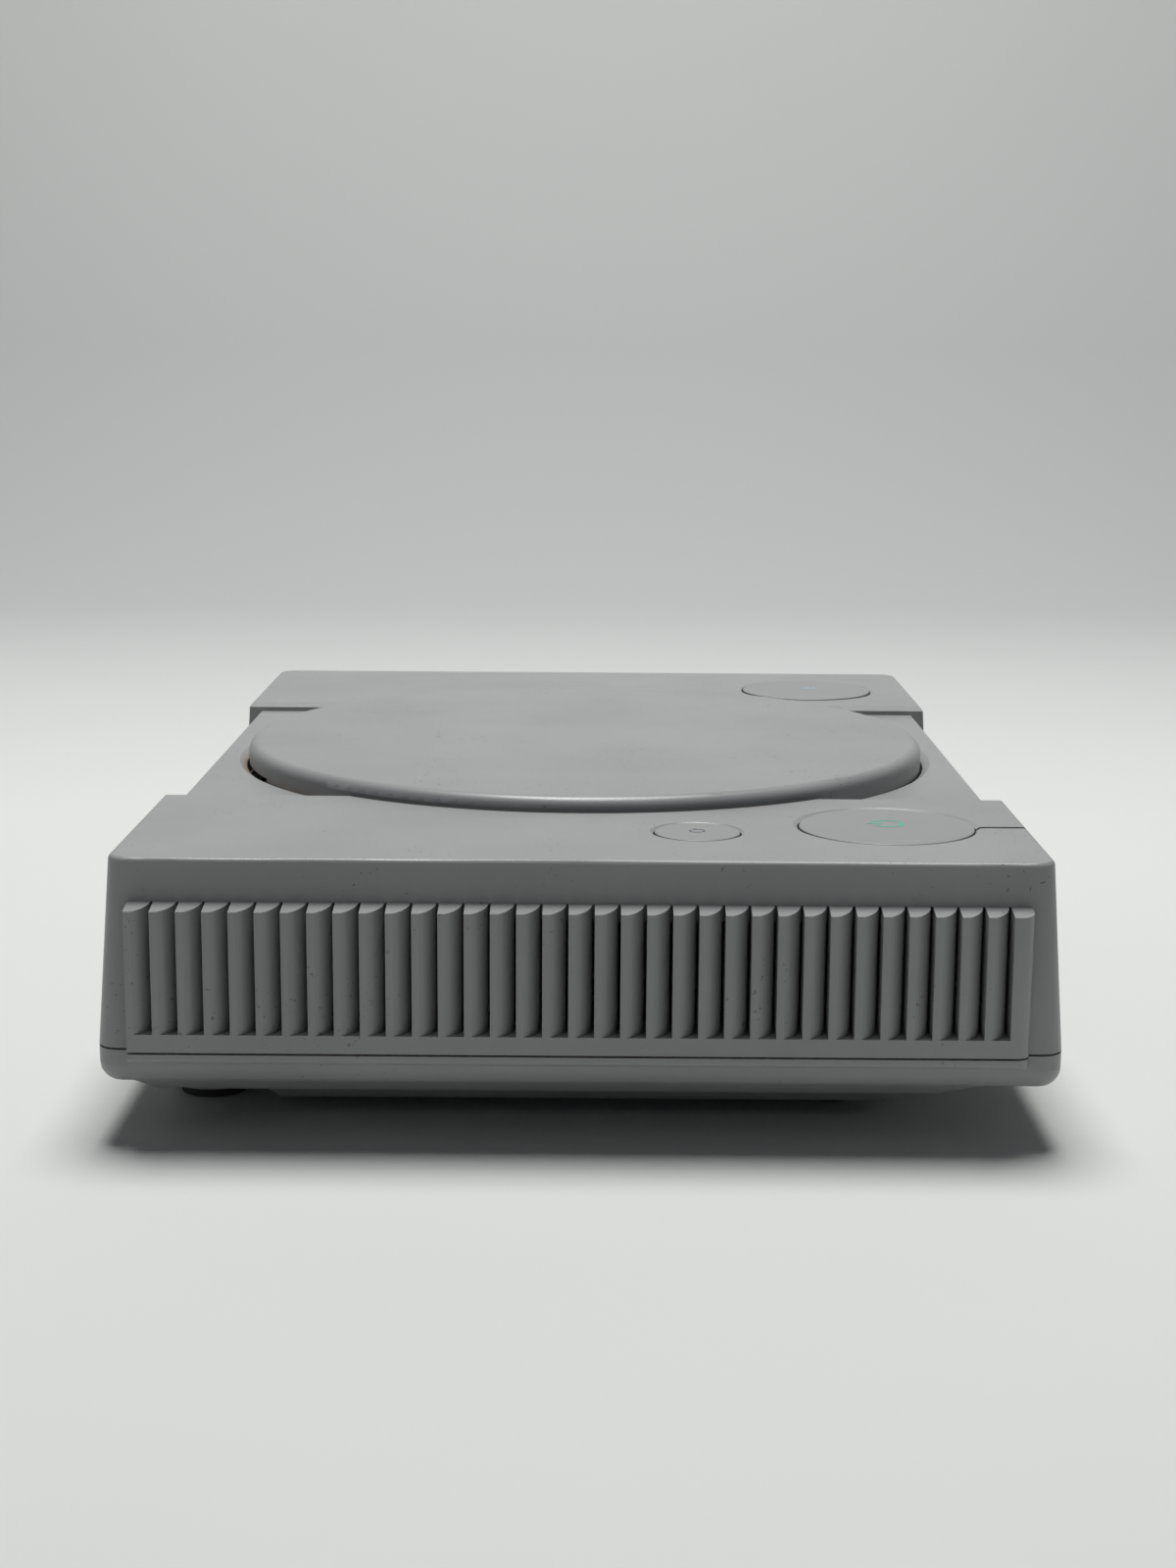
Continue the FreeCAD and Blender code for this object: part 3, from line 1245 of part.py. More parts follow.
def make_housing():
    body = new_body("port_housing")
    plate = new_sketch(body, "XZ_Plane", height="housing_front")
    add_rectangle(plate, "-housing_width/2", skirt_floor, "housing_width/2", "housing_top")
    pad(body, plate, "housing_plate", down=True)
    behind = "housing_front - housing_plate + 0.1"
    card_tubes = new_sketch(body, "XZ_Plane", height=behind)
    socket_tubes = new_sketch(body, "XZ_Plane", height=behind)
    feet = new_sketch(body, "XZ_Plane", height=behind)
    for side in SOCKET_SIDES:
        half = "card_width/2 + socket_wall"
        add_rectangle(
            card_tubes, f"{side} - ({half})", "card_bottom - socket_wall", f"{side} + {half}", "housing_top"
        )
        half = "socket_width/2 + socket_wall"
        tall = "socket_height/2 + socket_wall"
        add_rectangle(
            socket_tubes,
            f"{side} - ({half})",
            f"socket_centre - ({tall})",
            f"{side} + {half}",
            f"socket_centre + {tall} + 0.1",
        )
        add_rectangle(
            feet,
            f"{side} - socket_width/4",
            skirt_floor,
            f"{side} + socket_width/4",
            "socket_centre - socket_height/2",
        )
    pad(body, card_tubes, f"{housing_back} + {behind}", down=True)
    pad(body, socket_tubes, "socket_depth + socket_wall - housing_plate + 0.1", down=True)
    pad(body, feet, "socket_depth + socket_wall - housing_plate + 0.1", down=True)
    entries = new_sketch(body, "XZ_Plane", height="housing_front")
    rooms = new_sketch(body, "XZ_Plane", height="housing_front - housing_plate")
    sockets = new_sketch(body, "XZ_Plane", height="housing_front")
    for side in SOCKET_SIDES:
        left, right = f"{side} - card_width/2", f"{side} + card_width/2"
        add_rectangle(entries, left, "card_bottom", right, "card_bottom + card_height")
        add_rectangle(rooms, left, "card_bottom", right, "card_roof")
        left, right = f"{side} - socket_width/2", f"{side} + socket_width/2"
        low, high = "socket_centre - socket_height/2", "socket_centre + socket_height/2"
        add_outline(
            sockets,
            [
                (f"{left} + socket_corner", low),
                (f"{right} - socket_corner", low, "socket_corner"),
                (right, f"{low} + socket_corner"),
                (right, high),
                (left, high),
                (left, f"{low} + socket_corner", "socket_corner"),
            ],
        )
    pocket(body, entries, "housing_plate + 0.1")
    pocket(body, rooms, "card_depth - housing_plate - socket_wall")
    pocket(body, sockets, "socket_depth")
    pin_holes = new_sketch(body, "XZ_Plane", height="housing_front - socket_depth + 1")
    for x in CONTACT_SIDES:
        add_circle(pin_holes, x, "socket_centre", "contact_radius")
    pocket(body, pin_holes, "2*socket_depth")
    axle = new_sketch(body, "YZ_Plane", height="-case_width/2")
    add_circle(axle, shutter_axis, "shutter_axis_height", "shutter_pin_radius")
    pocket(body, axle, FAR, up=True)


CONTACT_SIDES = [
    f"{side} + ({index})*contact_spacing" for side in SOCKET_SIDES for index in range(-4, 5)
]


def make_front_pieces():
    for label, side in zip(("left_shutter", "right_shutter"), SOCKET_SIDES):
        left = f"{side} - card_width/2 + shutter_side_gap"
        right = f"{side} + card_width/2 - shutter_side_gap"
        front = "-housing_front + housing_plate + seat_gap"
        flap = new_box(
            label + "_flap",
            (left, front, "card_bottom + seat_gap"),
            (right, f"{front} + shutter_plate", "shutter_axis_height"),
        )
        start = (left, shutter_axis, "shutter_axis_height")
        boss = new_cylinder(label + "_boss", start, f"{right} - ({left})", "shutter_boss_radius", "x")
        bore = new_cylinder(
            label + "_bore", start, f"{right} - ({left})", "shutter_pin_radius + shaft_gap", "x"
        )
        keep(cut(label, fuse(label + "_solid", [flap, boss]), [bore]), label)
    pins = []
    for side in SOCKET_SIDES:
        start = (f"{side} - card_width/2 - socket_wall", shutter_axis, "shutter_axis_height")
        pins.append(new_cylinder("pin", start, "card_width + 2*socket_wall", "shutter_pin_radius", "x"))
    keep(group("shutter_pins", pins), "shutter_pins")
    contacts = [
        new_cylinder(
            "contact",
            (x, "-housing_front + socket_depth - contact_reach", "socket_centre"),
            "card_depth - socket_depth + contact_reach",
            "contact_radius",
            "y",
        )
        for x in CONTACT_SIDES
    ]
    keep(group("controller_contacts", contacts), "controller_contacts")
    card_contacts = []
    for side in SOCKET_SIDES:
        for index in range(8):
            x = f"{side} + {index - 3.5}*card_contact_spacing"
            back = f"{housing_back} - socket_wall"
            low = (f"{x} - card_contact_width/2", f"{back} - card_contact_length", "card_bottom")
            high = (f"{x} + card_contact_width/2", back, "card_bottom + contact_radius")
            card_contacts.append(new_box("card_contact", low, high))
    keep(group("card_contacts", card_contacts), "card_contacts")
    half = "housing_width/2 - 4*socket_wall"
    board = new_box(
        "port_board",
        (f"-({half})", housing_back, skirt_floor),
        (half, f"{housing_back} + port_board_thickness", "disc_floor_height - ledge_plate - 2*seat_gap"),
    )
    keep(board, "port_board")


def make_lid_pieces():
    start = "hinge_pin_inner"
    pins = []
    springs = []
    for side in (-1, 1):
        x = start if side > 0 else f"-({start}) - hinge_pin_length"
        pins.append(
            new_cylinder(
                "hinge_pin", (x, "hinge_rear", "hinge_height"), "hinge_pin_length", "hinge_pin_radius", "x"
            )
        )
        length = "hinge_ear_inner - hinge_pin_inner - 3*seat_gap"
        near = "hinge_pin_inner + 2*seat_gap"
        x = near if side > 0 else f"-({near}) - ({length})"
        place = (x, "hinge_rear", "hinge_height")
        outer = new_cylinder("spring_outside", place, length, "lid_spring_radius", "x")
        inner = new_cylinder("spring_inside", place, length, "hinge_pin_radius + seat_gap", "x")
        springs.append(cut("torsion_spring", outer, [inner]))
    keep(group("hinge_pins", pins), "hinge_pins")
    keep(group("lid_springs", springs), "lid_springs")
    half_length, half_width = "lid_switch_length/2", "lid_switch_width/2"
    place = ("-lid_switch_side", "-lid_switch_front")
    box = new_box(
        "lid_switch_box",
        (
            f"{place[0]} - {half_length}",
            f"{place[1]} - {half_width}",
            f"{lid_switch_top} - lid_switch_height",
        ),
        (f"{place[0]} + {half_length}", f"{place[1]} + {half_width}", lid_switch_top),
    )
    bottom = "plunger_top - plunger_length"
    bore = new_cylinder(
        "plunger_bore", place + (f"{bottom} - seat_gap",), "plunger_length", "plunger_radius + seat_gap"
    )
    keep(cut("lid_switch", box, [bore]), "lid_switch")
    keep(new_cylinder("lid_plunger", place + (bottom,), "plunger_length", "plunger_radius"), "lid_plunger")
    low = ("-light_side - pipe_width/2", "-pipe_front", f"{wing_ceiling} + seat_gap/3")
    high = ("-light_side + pipe_width/2", "-pipe_front + pipe_length", "pipe_top")
    cap = new_box("pipe_cap", low, high)
    low = ("-light_side - pipe_width/2", "-pipe_front + pipe_length - 2", "pipe_bottom")
    high = ("-light_side + pipe_width/2", "-pipe_front + pipe_length", "pipe_top - 1")
    keep(fuse("light_pipe", [cap, new_box("pipe_stem", low, high)]), "light_pipe")


def make_springs():
    """The spring under each button, a plain tube between its seat and the button."""
    top = "button_top - button_plate"
    table = [
        ("power_spring", "power", "stem_radius + 2", f"{board_top} + switch_height"),
        ("reset_spring", "reset", "reset_stem_radius + 1", f"{board_top} + reset_switch_height"),
        ("open_spring", "open", "open_stem_radius + 1.2", "open_post_height"),
    ]
    for label, button, radius, seat in table:
        place = BUTTONS[button] + (seat,)
        outer = new_cylinder(label + "_outside", place, f"{top} - ({seat})", radius)
        inner = new_cylinder(label + "_inside", place, f"{top} - ({seat})", f"{radius} - spring_wire")
        keep(cut(label, outer, [inner]), label)


def post_holes(bottom):
    """Holes for the drive's posts, as tools to cut with."""
    return [new_cylinder("post_hole", (x, y, bottom), "8", "post_radius + 0.5") for x, y in POSTS]


def make_boards():
    low = ("-main_left", "-main_front", "board_height")
    high = ("main_right", "main_rear", board_top)
    screw_holes = [
        new_cylinder(
            "screw_hole", (x, y, "board_height"), "board_thickness", "board_screw_shank + shaft_gap"
        )
        for x, y in MAIN_SCREWS
    ]
    board = new_box("main_plate", low, high)
    keep(cut("main_board", board, screw_holes + post_holes("board_height - 2")), "main_board")
    low = ("-power_board_left", "-power_board_front", "board_height")
    high = ("-power_board_right", "power_board_rear", board_top)
    screw_holes = [
        new_cylinder(
            "screw_hole", (x, y, "board_height"), "board_thickness", "board_screw_shank + shaft_gap"
        )
        for x, y in POWER_SCREWS
    ]
    keep(cut("power_board", new_box("power_plate", low, high), screw_holes), "power_board")
    chips = []
    for x, y, width, depth, height in (
        (0, 10, 28, 28, 3.2),
        (48, 6, 28, 28, 3.2),
        (4, 50, 20, 26, 2.6),
        (36, 52, 18, 18, 2.8),
        (66, 50, 14, 24, 2.6),
        (-32, 52, 14, 20, 2.6),
        (-30, 8, 12, 22, 2.6),
        (88, 8, 12, 26, 2.6),
        (30, -18, 22, 10, 2.2),
    ):
        low = (f"{x - width / 2}", f"{y - depth / 2}", board_top)
        high = (f"{x + width / 2}", f"{y + depth / 2}", f"{board_top} + {height}")
        chips.append(new_box("chip", low, high))
    keep(group("main_chips", chips), "main_chips")
    low = ("-main_left - shield_border", "-main_front - shield_border", "lower_shield_height")
    high = (
        "main_right + shield_border", "main_rear + shield_border", "lower_shield_height + shield_thickness"
    )
    neck_holes = [
        new_cylinder("neck_hole", (x, y, "lower_shield_height"), "1", "standoff_neck + seat_gap")
        for x, y in MAIN_SCREWS
    ]
    sheet_metal = new_box("lower_sheet", low, high)
    keep(
        cut("lower_shield", sheet_metal, neck_holes + post_holes("lower_shield_height - 2")), "lower_shield"
    )
    inset = "upper_shield_inset"
    low = (f"-main_left + {inset}", f"-main_front + {inset}", board_top)
    high = (f"main_right - {inset}", f"main_rear - {inset}", "upper_shield_top")
    outer = new_box("upper_sheet", low, high)
    low = (f"{low[0]} + shield_thickness", f"{low[1]} + shield_thickness", board_top)
    high = (
        f"{high[0]} - shield_thickness",
        f"{high[1]} - shield_thickness",
        "upper_shield_top - shield_thickness",
    )
    inner = new_box("upper_sheet_inside", low, high)
    keep(cut("upper_shield", outer, [inner] + post_holes(board_top)), "upper_shield")


def make_power_pieces():
    x, y = BUTTONS["power"]
    half = "switch_size/2"
    box = new_box(
        "switch_box",
        (f"{x} - {half}", f"{y} - {half}", board_top),
        (f"{x} + {half}", f"{y} + {half}", f"{board_top} + switch_height"),
    )
    depth = "button_travel + 6*seat_gap + 4"
    bore = new_cylinder(
        "switch_bore",
        (x, y, f"{board_top} + switch_height - ({depth})"),
        depth,
        "switch_plunger_radius + seat_gap",
    )
    keep(cut("power_switch", box, [bore]), "power_switch")
    plunger = new_cylinder(
        "power_plunger",
        (x, y, f"{board_top} + switch_height - 4"),
        "switch_plunger_out + 4",
        "switch_plunger_radius",
    )
    keep(plunger, "power_plunger")
    x, y = BUTTONS["reset"]
    half = "reset_switch_size/2"
    box = new_box(
        "reset_box",
        (f"{x} - {half}", f"{y} - {half}", board_top),
        (f"{x} + {half}", f"{y} + {half}", f"{board_top} + reset_switch_height"),
    )
    actuator = new_cylinder(
        "actuator", (x, y, board_top), "reset_switch_height + 2*seat_gap", "reset_stem_radius/1.2"
    )
    keep(fuse("reset_switch", [box, actuator]), "reset_switch")
    light_y = "-pipe_front + pipe_length - 0.5"
    collar = new_cylinder("light_collar", ("-light_side", light_y, board_top), "1", "light_radius")
    dome = new_cylinder(
        "light_dome",
        ("-light_side", light_y, board_top),
        f"pipe_bottom - seat_gap - ({board_top})",
        "light_radius*0.8",
    )
    keep(fuse("power_light", [collar, dome]), "power_light")

    low = ("-inlet_side - inlet_width/2", "inlet_rear - inlet_depth", board_top)
    high = ("-inlet_side + inlet_width/2", "inlet_rear", f"{board_top} + inlet_height")
    box = new_box("inlet_box", low, high)
    middle = f"{board_top} + inlet_height/2"
    tools = []
    for side in (-1, 1):
        start = (f"-inlet_side + {side}*inlet_pin_spacing/2", "inlet_rear - inlet_socket_depth", middle)
        tools.append(new_cylinder("lobe", start, "inlet_socket_depth + 1", "inlet_lobe", "y"))
    low = (
        "-inlet_side - inlet_pin_spacing/2", "inlet_rear - inlet_socket_depth", f"{middle} - 0.6*inlet_lobe"
    )
    high = ("-inlet_side + inlet_pin_spacing/2", "inlet_rear + 1", f"{middle} + 0.6*inlet_lobe")
    tools.append(new_box("lobe_link", low, high))
    keep(cut("mains_inlet", box, tools), "mains_inlet")
    pins = []
    for side in (-1, 1):
        start = (f"-inlet_side + {side}*inlet_pin_spacing/2", "inlet_rear - inlet_socket_depth", middle)
        pins.append(new_cylinder("inlet_pin", start, "inlet_socket_depth - 3", "inlet_lobe/3", "y"))
    keep(group("inlet_pins", pins), "inlet_pins")

    low = ("-90 - transformer_width/2", "24 - transformer_length/2", board_top)
    high = ("-90 + transformer_width/2", "24 + transformer_length/2", f"{board_top} + transformer_height")
    core = new_box("core", low, high)
    winding = new_cylinder(
        "winding",
        ("-90", "24 - transformer_length/2 - 3", f"{board_top} + transformer_height/2"),
        "transformer_length + 6",
        "transformer_height/2 - 1",
        "y",
    )
    keep(fuse("transformer", [core, winding]), "transformer")
    mains = new_cylinder(
        "mains_capacitor",
        ("-104", "43", f"{board_top} + capacitor_radius"),
        "capacitor_length",
        "capacitor_radius",
        "y",
    )
    small = [
        new_cylinder(
            "output_capacitor", (x, y, board_top), "small_capacitor_height", "small_capacitor_radius"
        )
        for x, y in (("-88", "-8"), ("-88", "-20"), ("-88", "-32"), ("-110", "-44"))
    ]
    keep(group("capacitors", [mains] + small), "capacitors")
    ribs = [
        new_box(
            "sink_plate",
            ("-76", "-30", board_top),
            ("-74.5", "-30 + heat_sink_length", f"{board_top} + heat_sink_height"),
        )
    ]
    for index in range(6):
        y = f"-30 + {index}*(heat_sink_length - 1)/5"
        ribs.append(
            new_box(
                "sink_rib", ("-80", y, board_top), ("-69", f"{y} + 1", f"{board_top} + heat_sink_height")
            )
        )
    keep(fuse("heat_sink", ribs), "heat_sink")
    low = f"{board_top} + fuse_radius + 1.4"
    tube = new_cylinder("fuse_tube", ("-82", "46", low), "fuse_length", "fuse_radius", "y")
    clips = [
        new_box(
            "clip", ("-82 - fuse_radius - 0.6", y, board_top), ("-82 + fuse_radius + 0.6", f"{y} + 3", low)
        )
        for y in ("46.5", "43.5 + fuse_length - 1")
    ]
    keep(fuse("fuse", [tube] + clips), "fuse")


def make_rear_pieces():
    for label, side, width, face in (
        ("video_connector", "video_side", "video_width", "rear_face"),
        ("serial_connector", "serial_side", "serial_width", "rear_face"),
        ("parallel_connector", "parallel_side", "parallel_width", f"{cover_back} - seat_gap"),
    ):
        low = (f"{side} - {width}/2", f"{face} - rear_connector_depth", board_top)
        high = (f"{side} + {width}/2", face, f"{board_top} + rear_connector_height")
        shell = new_box(label + "_shell", low, high)
        edge = "rear_connector_wall"
        low = (f"{side} - {width}/2 + {edge}", f"{face} - rear_pocket_depth", f"{board_top} + {edge}")
        high = (
            f"{side} + {width}/2 - {edge}", f"{face} + 1", f"{board_top} + rear_connector_height - {edge}"
        )
        hollow = new_box(label + "_hollow", low, high)
        middle = f"{board_top} + rear_connector_height/2"
        low = (
            f"{side} - {width}/2 + 3*{edge}",
            f"{face} - rear_pocket_depth - 1",
            f"{middle} - tongue_height/2",
        )
        high = (f"{side} + {width}/2 - 3*{edge}", f"{face} - 1", f"{middle} + tongue_height/2")
        tongue = new_box(label + "_tongue", low, high)
        keep(fuse(label, [cut(label + "_body", shell, [hollow]), tongue]), label)
    side, width = "parallel_side", "parallel_width"
    low = (f"{side} - {width}/2 - cover_border", cover_back, f"{board_top} - cover_border")
    high = (
        f"{side} + {width}/2 + cover_border",
        "middle_depth/2",
        f"{board_top} + rear_connector_height + cover_border",
    )
    plate = new_box("cover_plate", low, high)
    edge = "rear_connector_wall + seat_gap"
    low = (f"{side} - {width}/2 + {edge}", f"{cover_back} - cover_plug_depth", f"{board_top} + {edge}")
    high = (
        f"{side} + {width}/2 - ({edge})",
        f"{cover_back} + 0.1",
        f"{board_top} + rear_connector_height - ({edge})",
    )
    plug = new_box("cover_plug", low, high)
    low = (f"{low[0]} + 1.2", low[1], f"{low[2]} + 1.2")
    high = (f"{high[0]} - 1.2", cover_back, f"{high[2]} - 1.2")
    hollow = new_box("plug_hollow", low, high)
    keep(fuse("parallel_port_cover", [plate, cut("cover_ring", plug, [hollow])]), "parallel_port_cover")


def gear_outline(teeth, module, turned, play):
    """The points of a spur gear with involute flanks, one tooth pointing to the angle turned."""
    pitch = module * teeth / 2
    base = pitch * math.cos(math.radians(20))
    tip = pitch + 0.9 * module
    root = pitch - 1.2 * module
    involute = math.tan(math.radians(20)) - math.radians(20)
    half_tooth = (math.pi * module / 2 - play) / 2 / pitch + involute
    flank = [(root, half_tooth)]
    for step in range(6):
        radius = max(base, root) + (tip - max(base, root)) * step / 5
        angle = math.acos(min(base / radius, 1))
        flank.append((radius, half_tooth - (math.tan(angle) - angle)))
    points = []
    for index in range(teeth):
        middle = turned + 2 * math.pi * index / teeth
        points += [(radius, middle - half) for radius, half in flank]
        points += [(radius, middle + half) for radius, half in reversed(flank)]
    return [
        FreeCAD.Vector(radius * math.cos(angle), radius * math.sin(angle), 0)
        for radius, angle in points
    ]


def extruded(points, height):
    wire = Part.makePolygon(points + points[:1])
    return Part.Face(wire).extrude(FreeCAD.Vector(0, 0, height))


def new_toothed(name, shape, place):
    """A toothed solid, whose flanks need code, at a place given by formulas."""
    thing = document.addObject("Part::Feature", name)
    thing.Shape = shape
    for letter, text in zip("xyz", place):
        bind(thing, "Placement.Base." + letter, text)
    return thing


def make_drive():
    low = ("-drive_left", "-drive_front", "drive_height")
    high = ("drive_right", "drive_rear", drive_top)
    plate = new_box("drive_sheet", low, high)
    window = new_box("drive_window", ("motor_flange + 1.5", "-14", "drive_height"), ("78", "13", drive_top))
    holes = [
        new_cylinder("damper_hole", (x, y, "drive_height"), "drive_plate", "damper_neck") for x, y in POSTS
    ]
    pieces = [cut("drive_plate_cut", plate, [window] + holes)]
    rod_y = "-rod_front"
    for x in ("rod_start - rod_block/2", "rod_start + rod_length - rod_block/2"):
        low = (x, f"{rod_y} - 2.5", f"{drive_top} - 0.1")
        high = (f"{x} + rod_block", f"{rod_y} + 2.5", "rod_height + 2.5")
        pieces.append(new_box("rod_seat", low, high))
    low = ("motor_flange", "rail_rear - rail_width/2", f"{drive_top} - 0.1")
    pieces.append(new_box("rail", low, ("80", "rail_rear + rail_width/2", "sled_bottom - seat_gap")))
    collar_height = "2.2"
    ring = new_cylinder(
        "motor_collar",
        (pinion_x, pinion_y, f"{drive_top} - 0.1"),
        f"{collar_height} + 0.1",
        "sled_motor_collar",
    )
    ring_hole = new_cylinder(
        "collar_hole", (pinion_x, pinion_y, drive_top), collar_height, "sled_motor_collar - 2"
    )
    gear_room = new_cylinder(
        "gear_room", ("gear_side", gear_front, drive_top), "3", "fine_module*(big_teeth/2 + 1) + 0.4"
    )
    pieces.append(cut("motor_ring", ring, [ring_hole, gear_room]))
    pieces.append(
        new_cylinder("gear_pin", ("gear_side", gear_front, f"{drive_top} - 0.1"), "7", "gear_pin_radius")
    )
    rod_hole = new_cylinder("rod_hole", ("0", rod_y, "rod_height"), "drive_right", "rod_radius", "x")
    keep(cut("drive_base", fuse("drive_solid", pieces), [rod_hole]), "drive_base")
    keep(
        new_cylinder(
            "guide_rod",
            ("rod_start - rod_block/2", rod_y, "rod_height"),
            "rod_length + rod_block",
            "rod_radius",
            "x",
        ),
        "guide_rod",
    )

    dampers = []
    for x, y in POSTS:
        lower = new_cylinder(
            "damper_lower", (x, y, "post_shoulder"), "drive_height - post_shoulder", "damper_radius"
        )
        neck = new_cylinder(
            "damper_middle", (x, y, "post_shoulder"), f"{drive_top} - post_shoulder + 0.1", "damper_neck"
        )
        upper = new_cylinder("damper_upper", (x, y, drive_top), "damper_flange", "damper_radius")
        bore = new_cylinder("damper_bore", (x, y, "post_shoulder"), "10", "post_pin_radius")
        dampers.append(cut("damper", fuse("damper_solid", [lower, neck, upper]), [bore]))
    keep(group("dampers", dampers), "dampers")

    flange = new_cylinder("motor_base", ("0", "0", drive_top), "motor_flange_height", "motor_flange")
    can = new_cylinder(
        "motor_can", ("0", "0", drive_top), "motor_flange_height + motor_height", "motor_radius"
    )
    shaft_hole = new_cylinder(
        "shaft_hole", ("0", "0", f"{drive_top} + 2"), "12", "spindle_radius + shaft_gap"
    )
    keep(cut("spindle_motor", fuse("motor_solid", [flange, can]), [shaft_hole]), "spindle_motor")
    pieces = [
        new_cylinder("spindle", ("0", "0", f"{drive_top} + 2 + seat_gap"), "10", "spindle_radius"),
        new_cylinder(
            "table_boss", ("0", "0", "hub_boss_bottom"), "turntable_bottom - hub_boss_bottom", "hub_boss"
        ),
        new_cylinder(
            "table", ("0", "0", "turntable_bottom"), "disc_height - turntable_bottom", "turntable_radius"
        ),
        new_cylinder("hub", ("0", "0", "disc_height"), "hub_top - disc_height", "hub_radius"),
    ]
    balls = []
    pockets = []
    for index in range(3):
        for name, radius, result in (
            ("ball", "ball_radius", balls), ("ball_pocket", "ball_radius + 0.05", pockets)
        ):
            ball = document.addObject("Part::Sphere", name)
            bind(ball, "Radius", radius)
            reach = "hub_radius - ball_radius"
            bind(ball, "Placement.Base.x", f"({reach})*cos({120 * index})")
            bind(ball, "Placement.Base.y", f"({reach})*sin({120 * index})")
            bind(ball, "Placement.Base.z", "ball_height")
            result.append(ball)
    keep(cut("turntable", fuse("table_solid", pieces), pockets), "turntable")
    keep(group("clamp_balls", balls), "clamp_balls")


def make_sled():
    low = ("sled_inner - sled_inner_length", "-sled_front", "sled_bottom")
    high = ("sled_inner + sled_outer_length", "sled_rear", "sled_top")
    block = new_box("sled_block", low, high)
    module = number("rack_module")
    pitch = math.pi * module
    half = pitch / 4 - number("tooth_play") / 2
    lean = math.tan(math.radians(20)) * module
    tip, root = 0.9 * module, 1.2 * module
    gear_x = number("gear_side")
    start = number("sled_inner - sled_inner_length")
    end = start + number("rack_length")
    back = number("rack_pitch_front - sled_front") + 0.1
    points = [(start, back), (start, root)]
    first = math.ceil((start - gear_x) / pitch)
    for index in range(first, 1 + int((end - gear_x) / pitch)):
        middle = gear_x + (index + 0.5) * pitch
        if middle - pitch / 2 < start or middle + pitch / 2 > end:
            continue
        points += [(middle - half - lean * 1.2, root), (middle - half + lean * 0.9, -tip)]
        points += [(middle + half - lean * 0.9, -tip), (middle + half + lean * 1.2, root)]
    points += [(end, root), (end, back)]
    outline = [FreeCAD.Vector(x, y, 0) for x, y in points]
    rack = new_toothed(
        "rack", extruded(outline, number("rack_height")), ("0", "-rack_pitch_front", "sled_bottom")
    )
    tools = [
        new_cylinder(
            "sled_bore", ("0", "-rod_front", "rod_height"), "drive_right", "rod_radius + shaft_gap", "x"
        ),
        new_cylinder(
            "lens_pocket", ("sled_inner", "0", "lens_pocket_bottom"), "8", "lens_holder_radius + 0.4"
        ),
        new_cylinder("light_way", ("sled_inner", "0", "sled_bottom"), "8", "lens_radius"),
    ]
    keep(cut("laser_sled", fuse("sled_solid", [block, rack]), tools), "laser_sled")
    holder = new_cylinder(
        "holder",
        ("sled_inner", "0", "lens_holder_bottom"),
        "lens_holder_top - lens_holder_bottom",
        "lens_holder_radius",
    )
    seat = new_cylinder("lens_room", ("sled_inner", "0", "lens_seat"), "5", "lens_radius")
    way = new_cylinder("holder_way", ("sled_inner", "0", "lens_holder_bottom"), "8", "lens_radius - 1")
    keep(cut("lens_holder", holder, [seat, way]), "lens_holder")
    keep(
        new_cylinder(
            "objective_lens",
            ("sled_inner", "0", "lens_seat"),
            "lens_holder_top - lens_seat - 0.3",
            "lens_radius",
        ),
        "objective_lens",
    )

    play = number("tooth_play")
    teeth = int(number("small_teeth"))
    up = math.radians(90)
    small = extruded(gear_outline(teeth, module, up, play), number("rack_height") + 0.6)
    teeth = int(number("big_teeth"))
    toward = math.radians(number("pinion_angle"))
    fine = number("fine_module")
    big = extruded(gear_outline(teeth, fine, toward, play), number("big_gear_height"))
    place = ("gear_side", gear_front)
    pieces = [
        new_toothed("small_gear", small, place + (f"{gear_step} - 0.05",)),
        new_toothed("big_gear", big, place + (gear_bottom,)),
    ]
    bore = new_cylinder("gear_bore", place + (gear_bottom,), "12", "gear_pin_radius + shaft_gap")
    keep(cut("sled_gear", fuse("gear_solid", pieces), [bore]), "sled_gear")
    teeth = int(number("pinion_teeth"))
    turned = toward + math.pi + math.pi / teeth
    pinion = extruded(gear_outline(teeth, fine, turned, play), number("big_gear_height"))
    solid = new_toothed("pinion", pinion, (pinion_x, pinion_y, gear_bottom))
    bore = new_cylinder(
        "pinion_bore", (pinion_x, pinion_y, gear_bottom), "5", "sled_motor_shaft + shaft_gap"
    )
    keep(cut("motor_pinion", solid, [bore]), "motor_pinion")
    seat = f"{drive_top} + 2.2"
    can = new_cylinder(
        "sled_motor_can", (pinion_x, pinion_y, seat), "sled_motor_height", "sled_motor_radius"
    )
    shaft = new_cylinder(
        "sled_motor_axle",
        (pinion_x, pinion_y, gear_bottom),
        f"{seat} - ({gear_bottom}) + 0.1",
        "sled_motor_shaft",
    )
    keep(fuse("sled_motor", [can, shaft]), "sled_motor")


